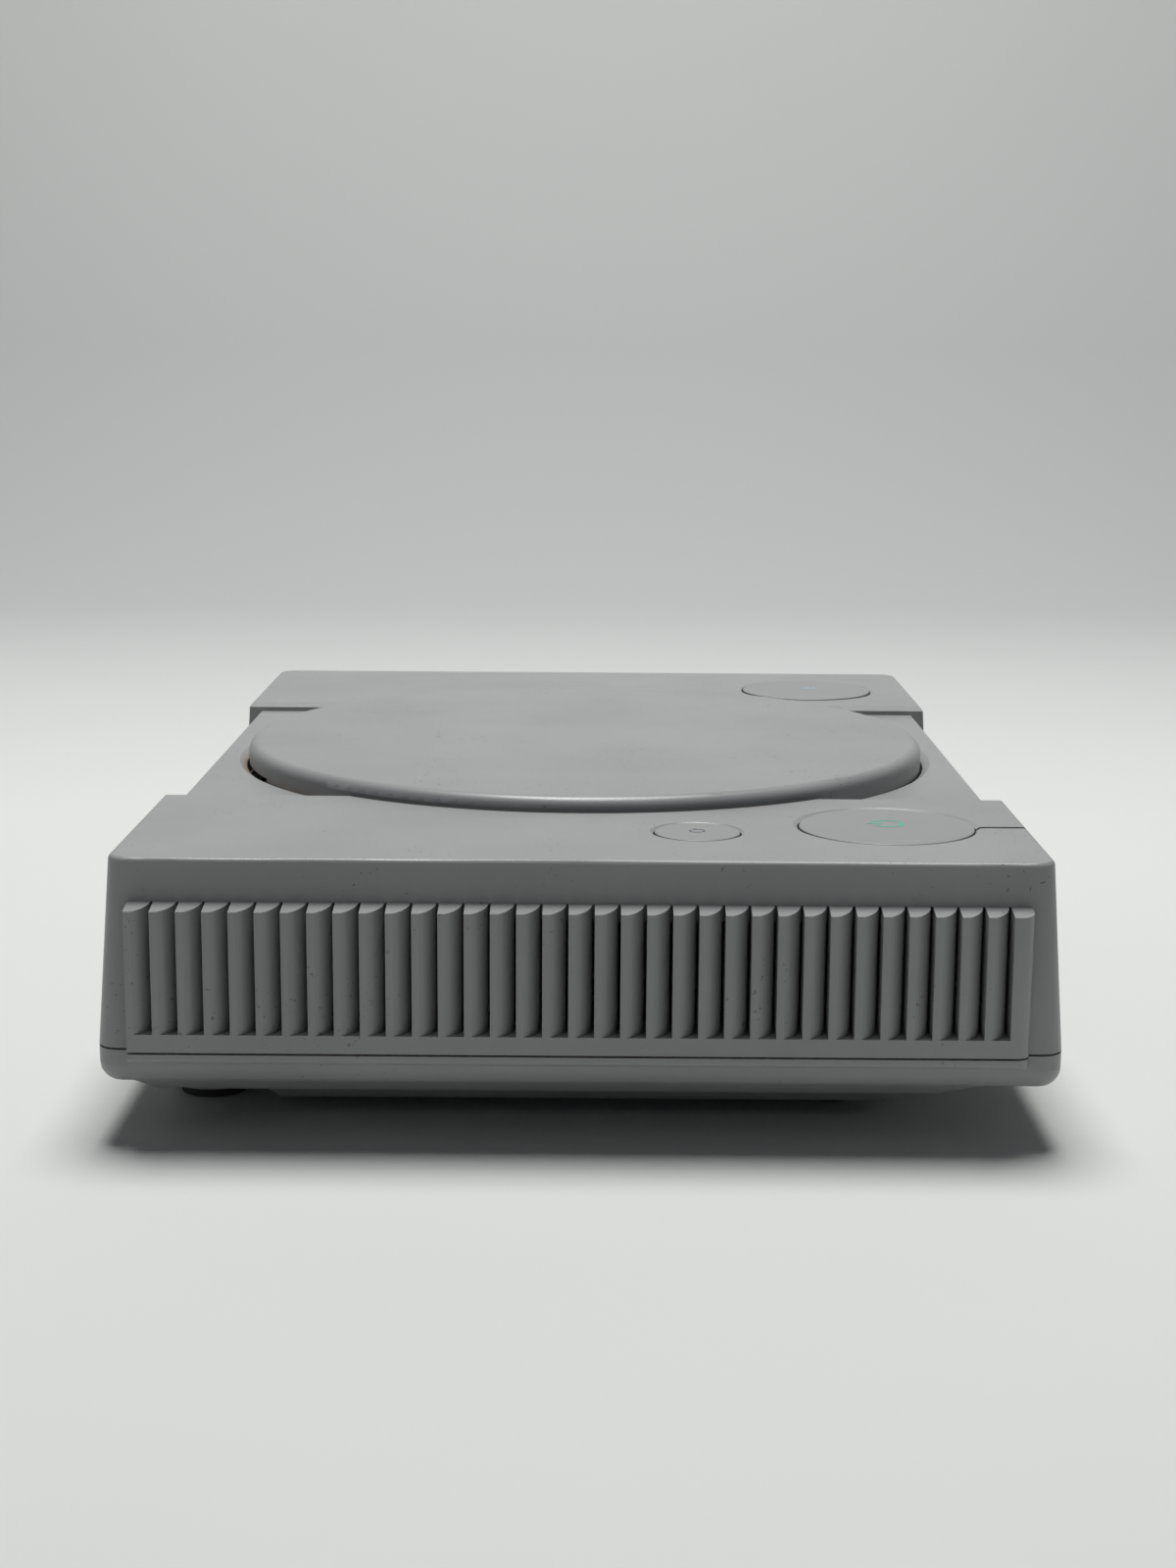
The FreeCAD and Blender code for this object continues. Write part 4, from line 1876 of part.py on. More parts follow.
def make_fasteners():
    screws = []
    for x, y in SCREW_PLACES + [MIDDLE_SCREW]:
        head = new_cylinder(
            "case_screw_head", (x, y, f"{screw_seat} - screw_head_height"), "screw_head_height", "screw_head"
        )
        shank = new_cylinder(
            "case_screw_shank", (x, y, f"{screw_seat} - 0.1"), "screw_length + 0.1", "screw_shank"
        )
        screws.append(fuse("case_screw", [head, shank]))
    keep(group("case_screws", screws), "case_screws")
    screws = []
    for x, y in MAIN_SCREWS + POWER_SCREWS:
        head = new_cylinder("board_screw_cap", (x, y, board_top), "board_screw_shank", "board_screw_head")
        shank = new_cylinder(
            "board_screw_rod",
            (x, y, f"{board_top} - board_screw_length"),
            "board_screw_length + 0.1",
            "board_screw_shank",
        )
        screws.append(fuse("board_screw", [head, shank]))
    keep(group("board_screws", screws), "board_screws")
    feet = []
    for x, y in FOOT_PLACES:
        disc = new_cylinder("foot_disc", (x, y, "0"), "foot_thickness", "foot_radius")
        feet.append(disc)
    keep(group("rubber_feet", feet), "rubber_feet")


def main():
    make_upper_case()
    make_lower_case()
    make_lid()
    make_buttons()
    make_latch()
    make_housing()
    make_front_pieces()
    make_lid_pieces()
    make_springs()
    make_boards()
    make_power_pieces()
    make_rear_pieces()
    make_drive()
    make_sled()
    make_fasteners()
    for thing in sub_parts:
        if thing.TypeId == "PartDesign::Body":
            thing.Tip.Refine = True
    document.recompute()
    for thing in document.Objects:
        if "Invalid" in thing.State or "Error" in thing.State:
            raise RuntimeError(f"{thing.Label} failed: {thing.State}")
    os.makedirs("parts", exist_ok=True)
    for thing in sub_parts:
        shape = thing.Shape
        if shape.isNull() or not shape.isValid():
            raise RuntimeError(f"{thing.Label} has no valid shape")
        shape.exportStep(f"parts/{thing.Label}.step")


main()
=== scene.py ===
import functools
import math

import bmesh
import bpy
from bpy.props import FloatProperty, FloatVectorProperty, IntProperty, PointerProperty
from mathutils import Matrix, Vector


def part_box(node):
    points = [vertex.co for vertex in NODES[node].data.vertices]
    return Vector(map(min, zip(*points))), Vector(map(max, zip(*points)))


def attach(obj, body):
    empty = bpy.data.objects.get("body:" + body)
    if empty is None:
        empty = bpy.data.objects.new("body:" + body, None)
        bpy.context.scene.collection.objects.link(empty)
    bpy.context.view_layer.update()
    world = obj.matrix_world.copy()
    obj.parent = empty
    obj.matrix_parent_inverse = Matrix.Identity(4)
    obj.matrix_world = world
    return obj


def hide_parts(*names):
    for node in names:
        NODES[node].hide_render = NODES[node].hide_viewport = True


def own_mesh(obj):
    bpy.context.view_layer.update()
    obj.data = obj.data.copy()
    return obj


bl_info = {
    "name": "Disc console",
    "version": (1, 0, 0),
    "blender": (4, 5, 0),
    "location": "View3D > Sidebar > Console",
    "description": "Finishes, button marks, springs and studio for a disc console with finned sides",
    "category": "Object",
}

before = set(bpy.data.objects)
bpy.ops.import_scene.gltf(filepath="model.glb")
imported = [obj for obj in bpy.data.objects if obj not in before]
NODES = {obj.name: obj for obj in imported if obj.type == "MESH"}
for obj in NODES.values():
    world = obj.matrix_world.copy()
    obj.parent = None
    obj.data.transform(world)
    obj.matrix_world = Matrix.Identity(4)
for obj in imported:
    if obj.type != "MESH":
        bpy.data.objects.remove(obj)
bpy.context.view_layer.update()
MM = 0.001
FULL_TURN = math.radians(360)

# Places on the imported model, from the floor under its middle
BUTTON_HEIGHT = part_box("power_button")[1][2]
POWER_MARK = Vector((-93.0 * MM, -63.0 * MM, BUTTON_HEIGHT))
RESET_MARK = Vector((-101.5 * MM, -23.4 * MM, BUTTON_HEIGHT))
OPEN_MARK = Vector((98.7 * MM, -63.7 * MM, BUTTON_HEIGHT))
SPRING_LOW, SPRING_HIGH = (Vector(corner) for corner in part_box("lid_springs"))
HINGE_SPRING_START = 12.6 * MM
HINGE_WIRE_SHARE = 0.42
BUTTON_SPRING_GAP = 0.05 * MM
WIRE_SIDES = 8
STEPS_PER_TURN = 16
LID_RADIUS = 81.7 * MM
WELL_RADIUS = 82.3 * MM
SIDE_WALL = 125 * MM
LEDGE_HEIGHT = 25 * MM

# The joint that presses each button's spring
BUTTON_SPRINGS = {"power_spring": "power_press", "reset_spring": "reset_press", "open_spring": "open_press"}


def from_hex(text):
    """A linear colour with alpha from an sRGB hex value."""
    values = [int(text[start:start + 2], 16) / 255 for start in (0, 2, 4)]
    linear = [v / 12.92 if v <= 0.04045 else ((v + 0.055) / 1.055) ** 2.4 for v in values]
    return tuple(linear) + (1.0,)


def add_node(tree, kind, sockets=None, **settings):
    """Adds a shader node, sets its properties and fills its sockets with values, sockets or nodes."""
    node = tree.nodes.new(kind)
    for name, value in settings.items():
        setattr(node, name, value)
    for name, value in (sockets or {}).items():
        if isinstance(value, bpy.types.Node):
            value = [output for output in value.outputs if output.enabled][0]
        if isinstance(value, bpy.types.NodeSocket):
            tree.links.new(value, node.inputs[name])
        else:
            node.inputs[name].default_value = value
    return node


def new_material(name):
    """An empty material, a call that adds nodes to it, and its Object coordinates."""
    material = bpy.data.materials.new(name)
    material.use_nodes = True
    tree = material.node_tree
    tree.nodes.clear()
    add = functools.partial(add_node, tree)
    return material, add, add("ShaderNodeTexCoord").outputs["Object"]


def moulded_abs(name, tone, shade, dirt, grain):
    """ABS from a spark-eroded mould: a fine even grain that makes every highlight soft and wide."""
    material, add, place = new_material(name)
    cloud = add("ShaderNodeTexNoise", {"Vector": place, "Scale": 1 / (45 * MM), "Detail": 3})
    cloud = add("ShaderNodeMapRange", {"Value": cloud, "From Min": 0.3, "From Max": 0.7})
    colour = add("ShaderNodeMix", {0: cloud, 6: tone, 7: shade}, data_type="RGBA")
    axes = add("ShaderNodeSeparateXYZ", {"Vector": place}).outputs
    facing = add("ShaderNodeNewGeometry").outputs["Normal"]
    upward = add("ShaderNodeSeparateXYZ", {"Vector": facing}).outputs["Z"]

    # Handling dirt: dark specks about a millimetre across, thick in some places and absent in others
    specks = add("ShaderNodeTexNoise", {"Vector": place, "Scale": 1 / (1.1 * MM), "Detail": 1})
    specks = add("ShaderNodeMapRange", {"Value": specks, "From Min": 0.69, "From Max": 0.74})
    patches = add("ShaderNodeTexNoise", {"Vector": place, "Scale": 1 / (20 * MM), "Detail": 1})
    patches = add(
        "ShaderNodeMapRange", {"Value": patches, "From Min": 0.5, "From Max": 0.64, "To Max": 0.6 * dirt}
    )
    specks = add("ShaderNodeMath", {0: specks, 1: patches}, operation="MULTIPLY")
    colour = add("ShaderNodeMix", {0: specks, 6: colour, 7: from_hex("35312e")}, data_type="RGBA")

    # Tan film caught in the joint round the lid, on the well's edge behind the middle
    level = add("ShaderNodeCombineXYZ", {"X": axes["X"], "Y": axes["Y"]})
    reach = add("ShaderNodeVectorMath", {0: level}, operation="LENGTH")
    inner = add(
        "ShaderNodeMapRange", {"Value": reach, "From Min": LID_RADIUS + 0.2 * MM, "From Max": WELL_RADIUS}
    )
    outer = add(
        "ShaderNodeMapRange",
        {
            "Value": reach,
            "From Min": WELL_RADIUS + 0.4 * MM,
            "From Max": WELL_RADIUS + 1.2 * MM,
            "To Min": 1,
            "To Max": 0,
        },
    )
    film = add("ShaderNodeMath", {0: inner, 1: outer}, operation="MULTIPLY")
    height = add(
        "ShaderNodeMapRange", {"Value": axes["Z"], "From Min": 50 * MM, "From Max": 54 * MM, "To Max": dirt}
    )
    behind = add("ShaderNodeMapRange", {"Value": axes["Y"], "From Min": 20 * MM, "From Max": 45 * MM})
    film = add("ShaderNodeMath", {0: film, 1: height}, operation="MULTIPLY")
    film = add("ShaderNodeMath", {0: film, 1: behind}, operation="MULTIPLY")
    smears = add("ShaderNodeTexNoise", {"Vector": place, "Scale": 1 / (25 * MM), "Detail": 3})
    smears = add("ShaderNodeMapRange", {"Value": smears, "From Min": 0.42, "From Max": 0.6, "To Max": 0.7})
    film = add("ShaderNodeMath", {0: film, 1: smears}, operation="MULTIPLY")
    colour = add("ShaderNodeMix", {0: film, 6: colour, 7: from_hex("8a765c")}, data_type="RGBA")

    # Pale dust on the ledges between the fins
    across = add("ShaderNodeMath", {0: axes["X"]}, operation="ABSOLUTE")
    beside = add(
        "ShaderNodeMapRange", {"Value": across, "From Min": SIDE_WALL, "From Max": SIDE_WALL + 2 * MM}
    )
    below = add(
        "ShaderNodeMapRange",
        {
            "Value": axes["Z"],
            "From Min": LEDGE_HEIGHT,
            "From Max": LEDGE_HEIGHT + 2 * MM,
            "To Min": 1,
            "To Max": 0,
        },
    )
    lying = add("ShaderNodeMapRange", {"Value": upward, "From Min": 0.4, "From Max": 0.9})
    fluff = add("ShaderNodeTexNoise", {"Vector": place, "Scale": 1 / (3 * MM), "Detail": 3})
    dust = add(
        "ShaderNodeMapRange",
        {"Value": fluff, "From Min": 0.35, "From Max": 0.65, "To Min": 0.1, "To Max": 0.6},
    )
    for part in (beside, below, lying):
        dust = add("ShaderNodeMath", {0: dust, 1: part}, operation="MULTIPLY")
    colour = add("ShaderNodeMix", {0: dust, 6: colour, 7: from_hex("b9b4ac")}, data_type="RGBA")

    wear = add("ShaderNodeTexNoise", {"Vector": place, "Scale": 1 / (30 * MM)})
    roughness = add(
        "ShaderNodeMapRange",
        {"Value": wear, "From Min": 0.35, "From Max": 0.7, "To Min": 0.34, "To Max": 0.46},
    )
    pits = add("ShaderNodeTexNoise", {"Vector": place, "Scale": 1 / grain})
    bump = add("ShaderNodeBump", {"Height": pits, "Distance": 0.03 * MM})
    shader = add(
        "ShaderNodeBsdfPrincipled",
        {"Base Color": colour, "Roughness": roughness, "Normal": bump, "IOR": 1.54},
    )
    add("ShaderNodeOutputMaterial", {"Surface": shader})
    return material


def smooth_plastic(name, tone, shade, roughness=0.38):
    """Plain moulded thermoplastic of the inner pieces: an almost even colour and a weak grain."""
    material, add, place = new_material(name)
    cloud = add("ShaderNodeTexNoise", {"Vector": place, "Scale": 1 / (12 * MM)})
    cloud = add("ShaderNodeMapRange", {"Value": cloud, "From Min": 0.3, "From Max": 0.7})
    colour = add("ShaderNodeMix", {0: cloud, 6: from_hex(tone), 7: from_hex(shade)}, data_type="RGBA")
    wear = add("ShaderNodeTexNoise", {"Vector": place, "Scale": 1 / (6 * MM)})
    rough = {
        "Value": wear,
        "From Min": 0.3,
        "From Max": 0.7,
        "To Min": roughness - 0.06,
        "To Max": roughness + 0.08,
    }
    rough = add("ShaderNodeMapRange", rough)
    pits = add("ShaderNodeTexNoise", {"Vector": place, "Scale": 1 / (0.6 * MM), "Detail": 1})
    bump = add("ShaderNodeBump", {"Height": pits, "Distance": 0.015 * MM})
    shader = add(
        "ShaderNodeBsdfPrincipled", {"Base Color": colour, "Roughness": rough, "Normal": bump, "IOR": 1.5}
    )
    add("ShaderNodeOutputMaterial", {"Surface": shader})
    return material


def drawn_metal(name, tone, shade, roughness=0.3, along="Z"):
    """Drawn or rolled metal: fine lines along one axis that stretch each highlight across it."""
    material, add, place = new_material(name)
    stretch = Vector([1 / 14 if axis == along else 1 for axis in "XYZ"])
    drawn = add("ShaderNodeMapping", {"Vector": place, "Scale": stretch})
    lines = add("ShaderNodeTexNoise", {"Vector": drawn, "Scale": 1 / (0.5 * MM)})
    cloud = add("ShaderNodeMapRange", {"Value": lines, "From Min": 0.3, "From Max": 0.7})
    colour = add("ShaderNodeMix", {0: cloud, 6: from_hex(tone), 7: from_hex(shade)}, data_type="RGBA")
    rough = add(
        "ShaderNodeMapRange", {"Value": cloud, "To Min": roughness - 0.06, "To Max": roughness + 0.1}
    )
    bump = add("ShaderNodeBump", {"Height": lines, "Distance": 0.01 * MM})
    shader = add(
        "ShaderNodeBsdfPrincipled", {"Base Color": colour, "Metallic": 1, "Roughness": rough, "Normal": bump}
    )
    add("ShaderNodeOutputMaterial", {"Surface": shader})
    return material


def circuit_board(name):
    """Glass-epoxy board under a glossy solder mask: darker islands and paler copper lines."""
    material, add, place = new_material(name)
    grid = {"Vector": place, "Scale": 1 / (5 * MM), "Mortar Size": 0.06}
    grid = add("ShaderNodeTexBrick", grid, offset=0.5).outputs["Fac"]
    copper = add("ShaderNodeTexNoise", {"Vector": place, "Scale": 1 / (9 * MM), "Detail": 1})
    copper = add("ShaderNodeMapRange", {"Value": copper, "From Min": 0.45, "From Max": 0.55})
    traces = add("ShaderNodeMath", {0: grid, 1: copper}, operation="MULTIPLY")
    mask = {0: traces, 6: from_hex("1d4a2c"), 7: from_hex("3f7a45")}
    colour = add("ShaderNodeMix", mask, data_type="RGBA")
    roughness = add("ShaderNodeMapRange", {"Value": traces, "To Min": 0.34, "To Max": 0.24})
    bump = add("ShaderNodeBump", {"Height": traces, "Distance": 0.04 * MM})
    sockets = {"Base Color": colour, "Roughness": roughness, "Normal": bump, "IOR": 1.52}
    shader = add("ShaderNodeBsdfPrincipled", sockets | {"Coat Weight": 0.4, "Coat Roughness": 0.15})
    add("ShaderNodeOutputMaterial", {"Surface": shader})
    return material


def moulded_rubber(name):
    """Moulded rubber: dull and dark, with a pale bloom and a coarse grain."""
    material, add, place = new_material(name)
    bloom = add("ShaderNodeTexNoise", {"Vector": place, "Scale": 1 / (4 * MM), "Detail": 3})
    bloom = add("ShaderNodeMapRange", {"Value": bloom, "From Min": 0.4, "From Max": 0.8})
    colour = add("ShaderNodeMix", {0: bloom, 6: from_hex("1d1c1b"), 7: from_hex("35332f")}, data_type="RGBA")
    roughness = add("ShaderNodeMapRange", {"Value": bloom, "To Min": 0.75, "To Max": 0.92})
    pits = add("ShaderNodeTexNoise", {"Vector": place, "Scale": 1 / (0.5 * MM)})
    bump = add("ShaderNodeBump", {"Height": pits, "Distance": 0.05 * MM})
    shader = add(
        "ShaderNodeBsdfPrincipled",
        {"Base Color": colour, "Roughness": roughness, "Normal": bump, "IOR": 1.52},
    )
    add("ShaderNodeOutputMaterial", {"Surface": shader})
    return material


def clear_acrylic(name, tone):
    """Clear moulded acrylic: it shows what lies behind it, a little cloudy."""
    material, add, place = new_material(name)
    cloud = add("ShaderNodeTexNoise", {"Vector": place, "Scale": 1 / (3 * MM)})
    cloud = add("ShaderNodeMapRange", {"Value": cloud, "From Min": 0.3, "From Max": 0.7})
    colour = add("ShaderNodeMix", {0: cloud, 6: from_hex(tone), 7: from_hex("f4f6f2")}, data_type="RGBA")
    roughness = add("ShaderNodeMapRange", {"Value": cloud, "To Min": 0.08, "To Max": 0.2})
    sockets = {"Base Color": colour, "Roughness": roughness, "IOR": 1.49, "Transmission Weight": 0.85}
    add("ShaderNodeOutputMaterial", {"Surface": add("ShaderNodeBsdfPrincipled", sockets)})
    return material


def printed_ink(name, tone):
    """Pad-printed ink: thin and a little uneven where the grain of the plastic shows through."""
    material, add, place = new_material(name)
    worn = add("ShaderNodeTexNoise", {"Vector": place, "Scale": 1 / (0.5 * MM)})
    worn = add("ShaderNodeMapRange", {"Value": worn, "From Min": 0.5, "From Max": 0.9})
    colour = add("ShaderNodeMix", {0: worn, 6: tone, 7: from_hex("8a8886")}, data_type="RGBA")
    roughness = add("ShaderNodeMapRange", {"Value": worn, "To Min": 0.42, "To Max": 0.55})
    shader = add("ShaderNodeBsdfPrincipled", {"Base Color": colour, "Roughness": roughness, "IOR": 1.5})
    add("ShaderNodeOutputMaterial", {"Surface": shader})
    return material


def backdrop_paper(name, tone):
    """Matt seamless paper: pale and dull, with a faint cloud, and painted shade that makes it greyer towards
    the back and where it bends up.
    """
    material, add, place = new_material(name)
    cloud = add("ShaderNodeTexNoise", {"Vector": place, "Scale": 1 / (160 * MM)})
    cloud = add("ShaderNodeMapRange", {"Value": cloud, "From Min": 0.3, "From Max": 0.7, "To Max": 0.25})
    colour = add("ShaderNodeMix", {0: cloud, 6: tone, 7: from_hex("d2d4d2")}, data_type="RGBA")
    axes = add("ShaderNodeSeparateXYZ", {"Vector": place}).outputs
    # Painted shade: from 0.2 m to 0.8 m back, and up the bend to 0.42 m, the paper is mixed towards a darker
    # grey. This stands in for the overhead lamp's light falling off there.
    along = add("ShaderNodeMapRange", {"Value": axes["X"], "From Min": 0.2, "From Max": 0.8})
    upward = add(
        "ShaderNodeMapRange",
        {"Value": axes["Z"], "From Min": 0.15, "From Max": 0.42, "To Min": 1, "To Max": 0},
    )
    bend = add("ShaderNodeMath", {0: along, 1: upward}, operation="MULTIPLY")
    colour = add("ShaderNodeMix", {0: bend, 6: colour, 7: from_hex("c2c4c2")}, data_type="RGBA")
    shader = add("ShaderNodeBsdfPrincipled", {"Base Color": colour, "Roughness": 0.9, "IOR": 1.4})
    add("ShaderNodeOutputMaterial", {"Surface": shader})
    return material


def dress(material, *names):
    """Gives CAD nodes a finish."""
    for name in names:
        data = NODES[name].data
        data.materials.clear()
        data.materials.append(material)


def finish_piece(mesh, name, body, material):
    """Turns a bmesh into a piece that rides on a body."""
    data = bpy.data.meshes.new(name)
    mesh.to_mesh(data)
    mesh.free()
    piece = bpy.data.objects.new(name, data)
    bpy.context.scene.collection.objects.link(piece)
    data.materials.append(material)
    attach(piece, body)
    return piece


def add_plate(mesh, corners):
    """A flat plate in millimetres about the mark's centre."""
    mesh.faces.new([mesh.verts.new((x * MM, y * MM, 0)) for x, y in corners])


def add_band(mesh, radius, width, start, end, steps=32):
    """A flat band along an arc, in millimetres and degrees."""
    turn = Matrix.Rotation(math.radians(start), 3, "Z")
    ends = [mesh.verts.new(turn @ Vector(((radius + side * width / 2) * MM, 0, 0))) for side in (-1, 1)]
    edge = mesh.edges.new(ends)
    bmesh.ops.spin(
        mesh,
        geom=ends + [edge],
        cent=(0, 0, 0),
        axis=(0, 0, 1),
        angle=math.radians(end - start),
        steps=steps,
    )


def print_mark(mesh, name, centre, body, material):
    """Gives the flat shapes of a mark the thickness of a print and lays them on a button."""
    looks = bpy.context.scene.console_looks
    bmesh.ops.recalc_face_normals(mesh, faces=mesh.faces)
    downward = [face for face in mesh.faces if face.normal.z < 0]
    bmesh.ops.reverse_faces(mesh, faces=downward)
    made = bmesh.ops.extrude_face_region(mesh, geom=list(mesh.faces), use_keep_orig=True)
    raised = [one for one in made["geom"] if isinstance(one, bmesh.types.BMVert)]
    bmesh.ops.translate(mesh, verts=raised, vec=(0, 0, looks.ink_thickness))
    bmesh.ops.recalc_face_normals(mesh, faces=mesh.faces)
    bmesh.ops.translate(mesh, verts=mesh.verts, vec=centre + Vector((0, 0, looks.ink_thickness / 2)))
    return finish_piece(mesh, name, body, material)


def wind_spring(mesh, centre, outward, climb, wire, turns):
    """A closed coil of round wire that starts outward of its centre and climbs along another axis."""
    standing = Matrix.Translation(centre + outward) @ Matrix.Rotation(math.radians(90), 4, "X")
    ring = bmesh.ops.create_circle(mesh, segments=WIRE_SIDES, radius=wire, matrix=standing)["verts"]
    edges = list({edge for vert in ring for edge in vert.link_edges})
    steps = STEPS_PER_TURN * turns
    wound = bmesh.ops.spin(
        mesh,
        geom=ring + edges,
        cent=centre,
        axis=climb.normalized(),
        dvec=climb / steps,
        angle=FULL_TURN * turns,
        steps=steps,
    )
    last = [one for one in wound["geom_last"] if isinstance(one, bmesh.types.BMEdge)]
    bmesh.ops.edgeloop_fill(mesh, edges=edges)
    bmesh.ops.edgeloop_fill(mesh, edges=last)
    bmesh.ops.recalc_face_normals(mesh, faces=mesh.faces)
    for face in mesh.faces:
        face.smooth = len(face.verts) == 4


class ConsoleLooks(bpy.types.PropertyGroup):
    """Colours, wear and small sizes of the console."""

    case_tone: FloatVectorProperty(
        name="Case",
        description="Main colour of the case",
        default=from_hex("979797"),
        subtype="COLOR",
        size=4,
        min=0,
        max=1,
    )
    case_shade: FloatVectorProperty(
        name="Case, darker",
        description="Darker colour in the case's faint clouds",
        default=from_hex("8f8f8f"),
        subtype="COLOR",
        size=4,
        min=0,
        max=1,
    )
    cap_tone: FloatVectorProperty(
        name="Buttons",
        description="Colour of the buttons",
        default=from_hex("8d8d8d"),
        subtype="COLOR",
        size=4,
        min=0,
        max=1,
    )
    power_ink: FloatVectorProperty(
        name="Power mark",
        description="Ink of the power mark",
        default=from_hex("3fae8c"),
        subtype="COLOR",
        size=4,
        min=0,
        max=1,
    )
    open_ink: FloatVectorProperty(
        name="Open mark",
        description="Ink of the open mark",
        default=from_hex("8fa6b8"),
        subtype="COLOR",
        size=4,
        min=0,
        max=1,
    )
    reset_ink: FloatVectorProperty(
        name="Reset mark",
        description="Ink of the reset mark",
        default=from_hex("4b4c55"),
        subtype="COLOR",
        size=4,
        min=0,
        max=1,
    )
    ink_thickness: FloatProperty(
        name="Ink",
        description="Thickness of a printed mark",
        default=0.02 * MM,
        min=0,
        unit="LENGTH",
        precision=5,
    )
    grain: FloatProperty(
        name="Grain",
        description="Size of the case's grain",
        default=0.35 * MM,
        min=0.05 * MM,
        unit="LENGTH",
        precision=5,
    )
    dirt: FloatProperty(
        name="Dirt", description="How dirty the case is", default=1.0, min=0, max=2, subtype="FACTOR"
    )
    spring_turns: IntProperty(
        name="Hinge turns", description="Turns of each hinge spring", default=7, min=2, max=20
    )
    button_turns: IntProperty(
        name="Button turns", description="Turns of each button spring", default=8, min=2, max=20
    )
    button_wire: FloatProperty(
        name="Button wire",
        description="Wire of each button spring",
        default=0.8 * MM,
        min=0,
        unit="LENGTH",
        precision=4,
    )


class StudioLooks(bpy.types.PropertyGroup):
    """Camera, lamps and backdrop."""

    camera_place: FloatVectorProperty(
        name="Camera",
        description="Where the camera stands",
        default=(-0.5695, -0.0026, 0.1555),
        subtype="TRANSLATION",
    )
    pitch: FloatProperty(
        name="Down",
        description="How far the camera looks down",
        default=math.radians(10.74),
        subtype="ANGLE",
    )
    yaw: FloatProperty(
        name="Turn", description="Camera's turn to its left", default=math.radians(0.18), subtype="ANGLE"
    )
    roll: FloatProperty(
        name="Roll", description="Camera's roll", default=math.radians(0.36), subtype="ANGLE"
    )
    lens: FloatProperty(
        name="Lens", description="Focal length in millimetres on a 36 mm side", default=53.94, min=10
    )
    lamp_place: FloatVectorProperty(
        name="Lamp",
        description="Where the overhead lamp hangs",
        default=(0.2, 0.0, 1.5),
        subtype="TRANSLATION",
    )
    lamp_size: FloatProperty(
        name="Lamp size", description="Lamp across", default=0.75, min=0.1, unit="LENGTH"
    )
    lamp_power: FloatProperty(
        name="Lamp power", description="Overhead lamp", default=24.5, min=0, unit="POWER"
    )
    ambient: FloatProperty(name="Room light", description="Light from all round", default=0.085, min=0)
    surround: FloatProperty(
        name="Surround", description="Brightness that gloss and the camera see", default=0.4, min=0
    )
    backdrop: FloatVectorProperty(
        name="Backdrop",
        description="Floor and backdrop",
        default=from_hex("d8dad7"),
        subtype="COLOR",
        size=4,
        min=0,
        max=1,
    )


class CONSOLE_OT_case(bpy.types.Operator):
    """Finish the case halves, the lid and the rear cover"""

    bl_idname = "console.case"
    bl_label = "Case"

    def execute(self, context):
        looks = context.scene.console_looks
        case = moulded_abs("case_abs", looks.case_tone, looks.case_shade, looks.dirt, looks.grain)
        dress(case, "upper_case", "lower_case", "disc_lid", "parallel_port_cover")
        return {"FINISHED"}


class CONSOLE_OT_buttons(bpy.types.Operator):
    """Finish the three buttons and print a plain symbol on each"""

    bl_idname = "console.buttons"
    bl_label = "Buttons"

    def execute(self, context):
        looks = context.scene.console_looks
        caps = moulded_abs("button_abs", looks.cap_tone, looks.case_shade, 0.5 * looks.dirt, looks.grain)
        dress(caps, "power_button", "reset_button", "open_button")

        power = bmesh.new()
        add_band(power, 3.2, 0.9, 125, 415)
        add_plate(power, [(-0.45, 0.9), (0.45, 0.9), (0.45, 4.3), (-0.45, 4.3)])
        ink = printed_ink("power_ink", looks.power_ink)
        print_mark(power, "power_mark", POWER_MARK, "power_cap", ink)

        reset = bmesh.new()
        add_band(reset, 1.5, 0.4, 60, 350)
        add_plate(reset, [(0.8, 0.8), (2.3, 0.8), (1.5, -0.5)])
        ink = printed_ink("reset_ink", looks.reset_ink)
        print_mark(reset, "reset_mark", RESET_MARK, "reset_cap", ink)

        opener = bmesh.new()
        add_plate(opener, [(-2.4, -0.4), (2.4, -0.4), (0, 2.4)])
        add_plate(opener, [(-2.4, -1.7), (2.4, -1.7), (2.4, -1.1), (-2.4, -1.1)])
        ink = printed_ink("open_ink", looks.open_ink)
        print_mark(opener, "open_mark", OPEN_MARK, "open_cap", ink)
        return {"FINISHED"}


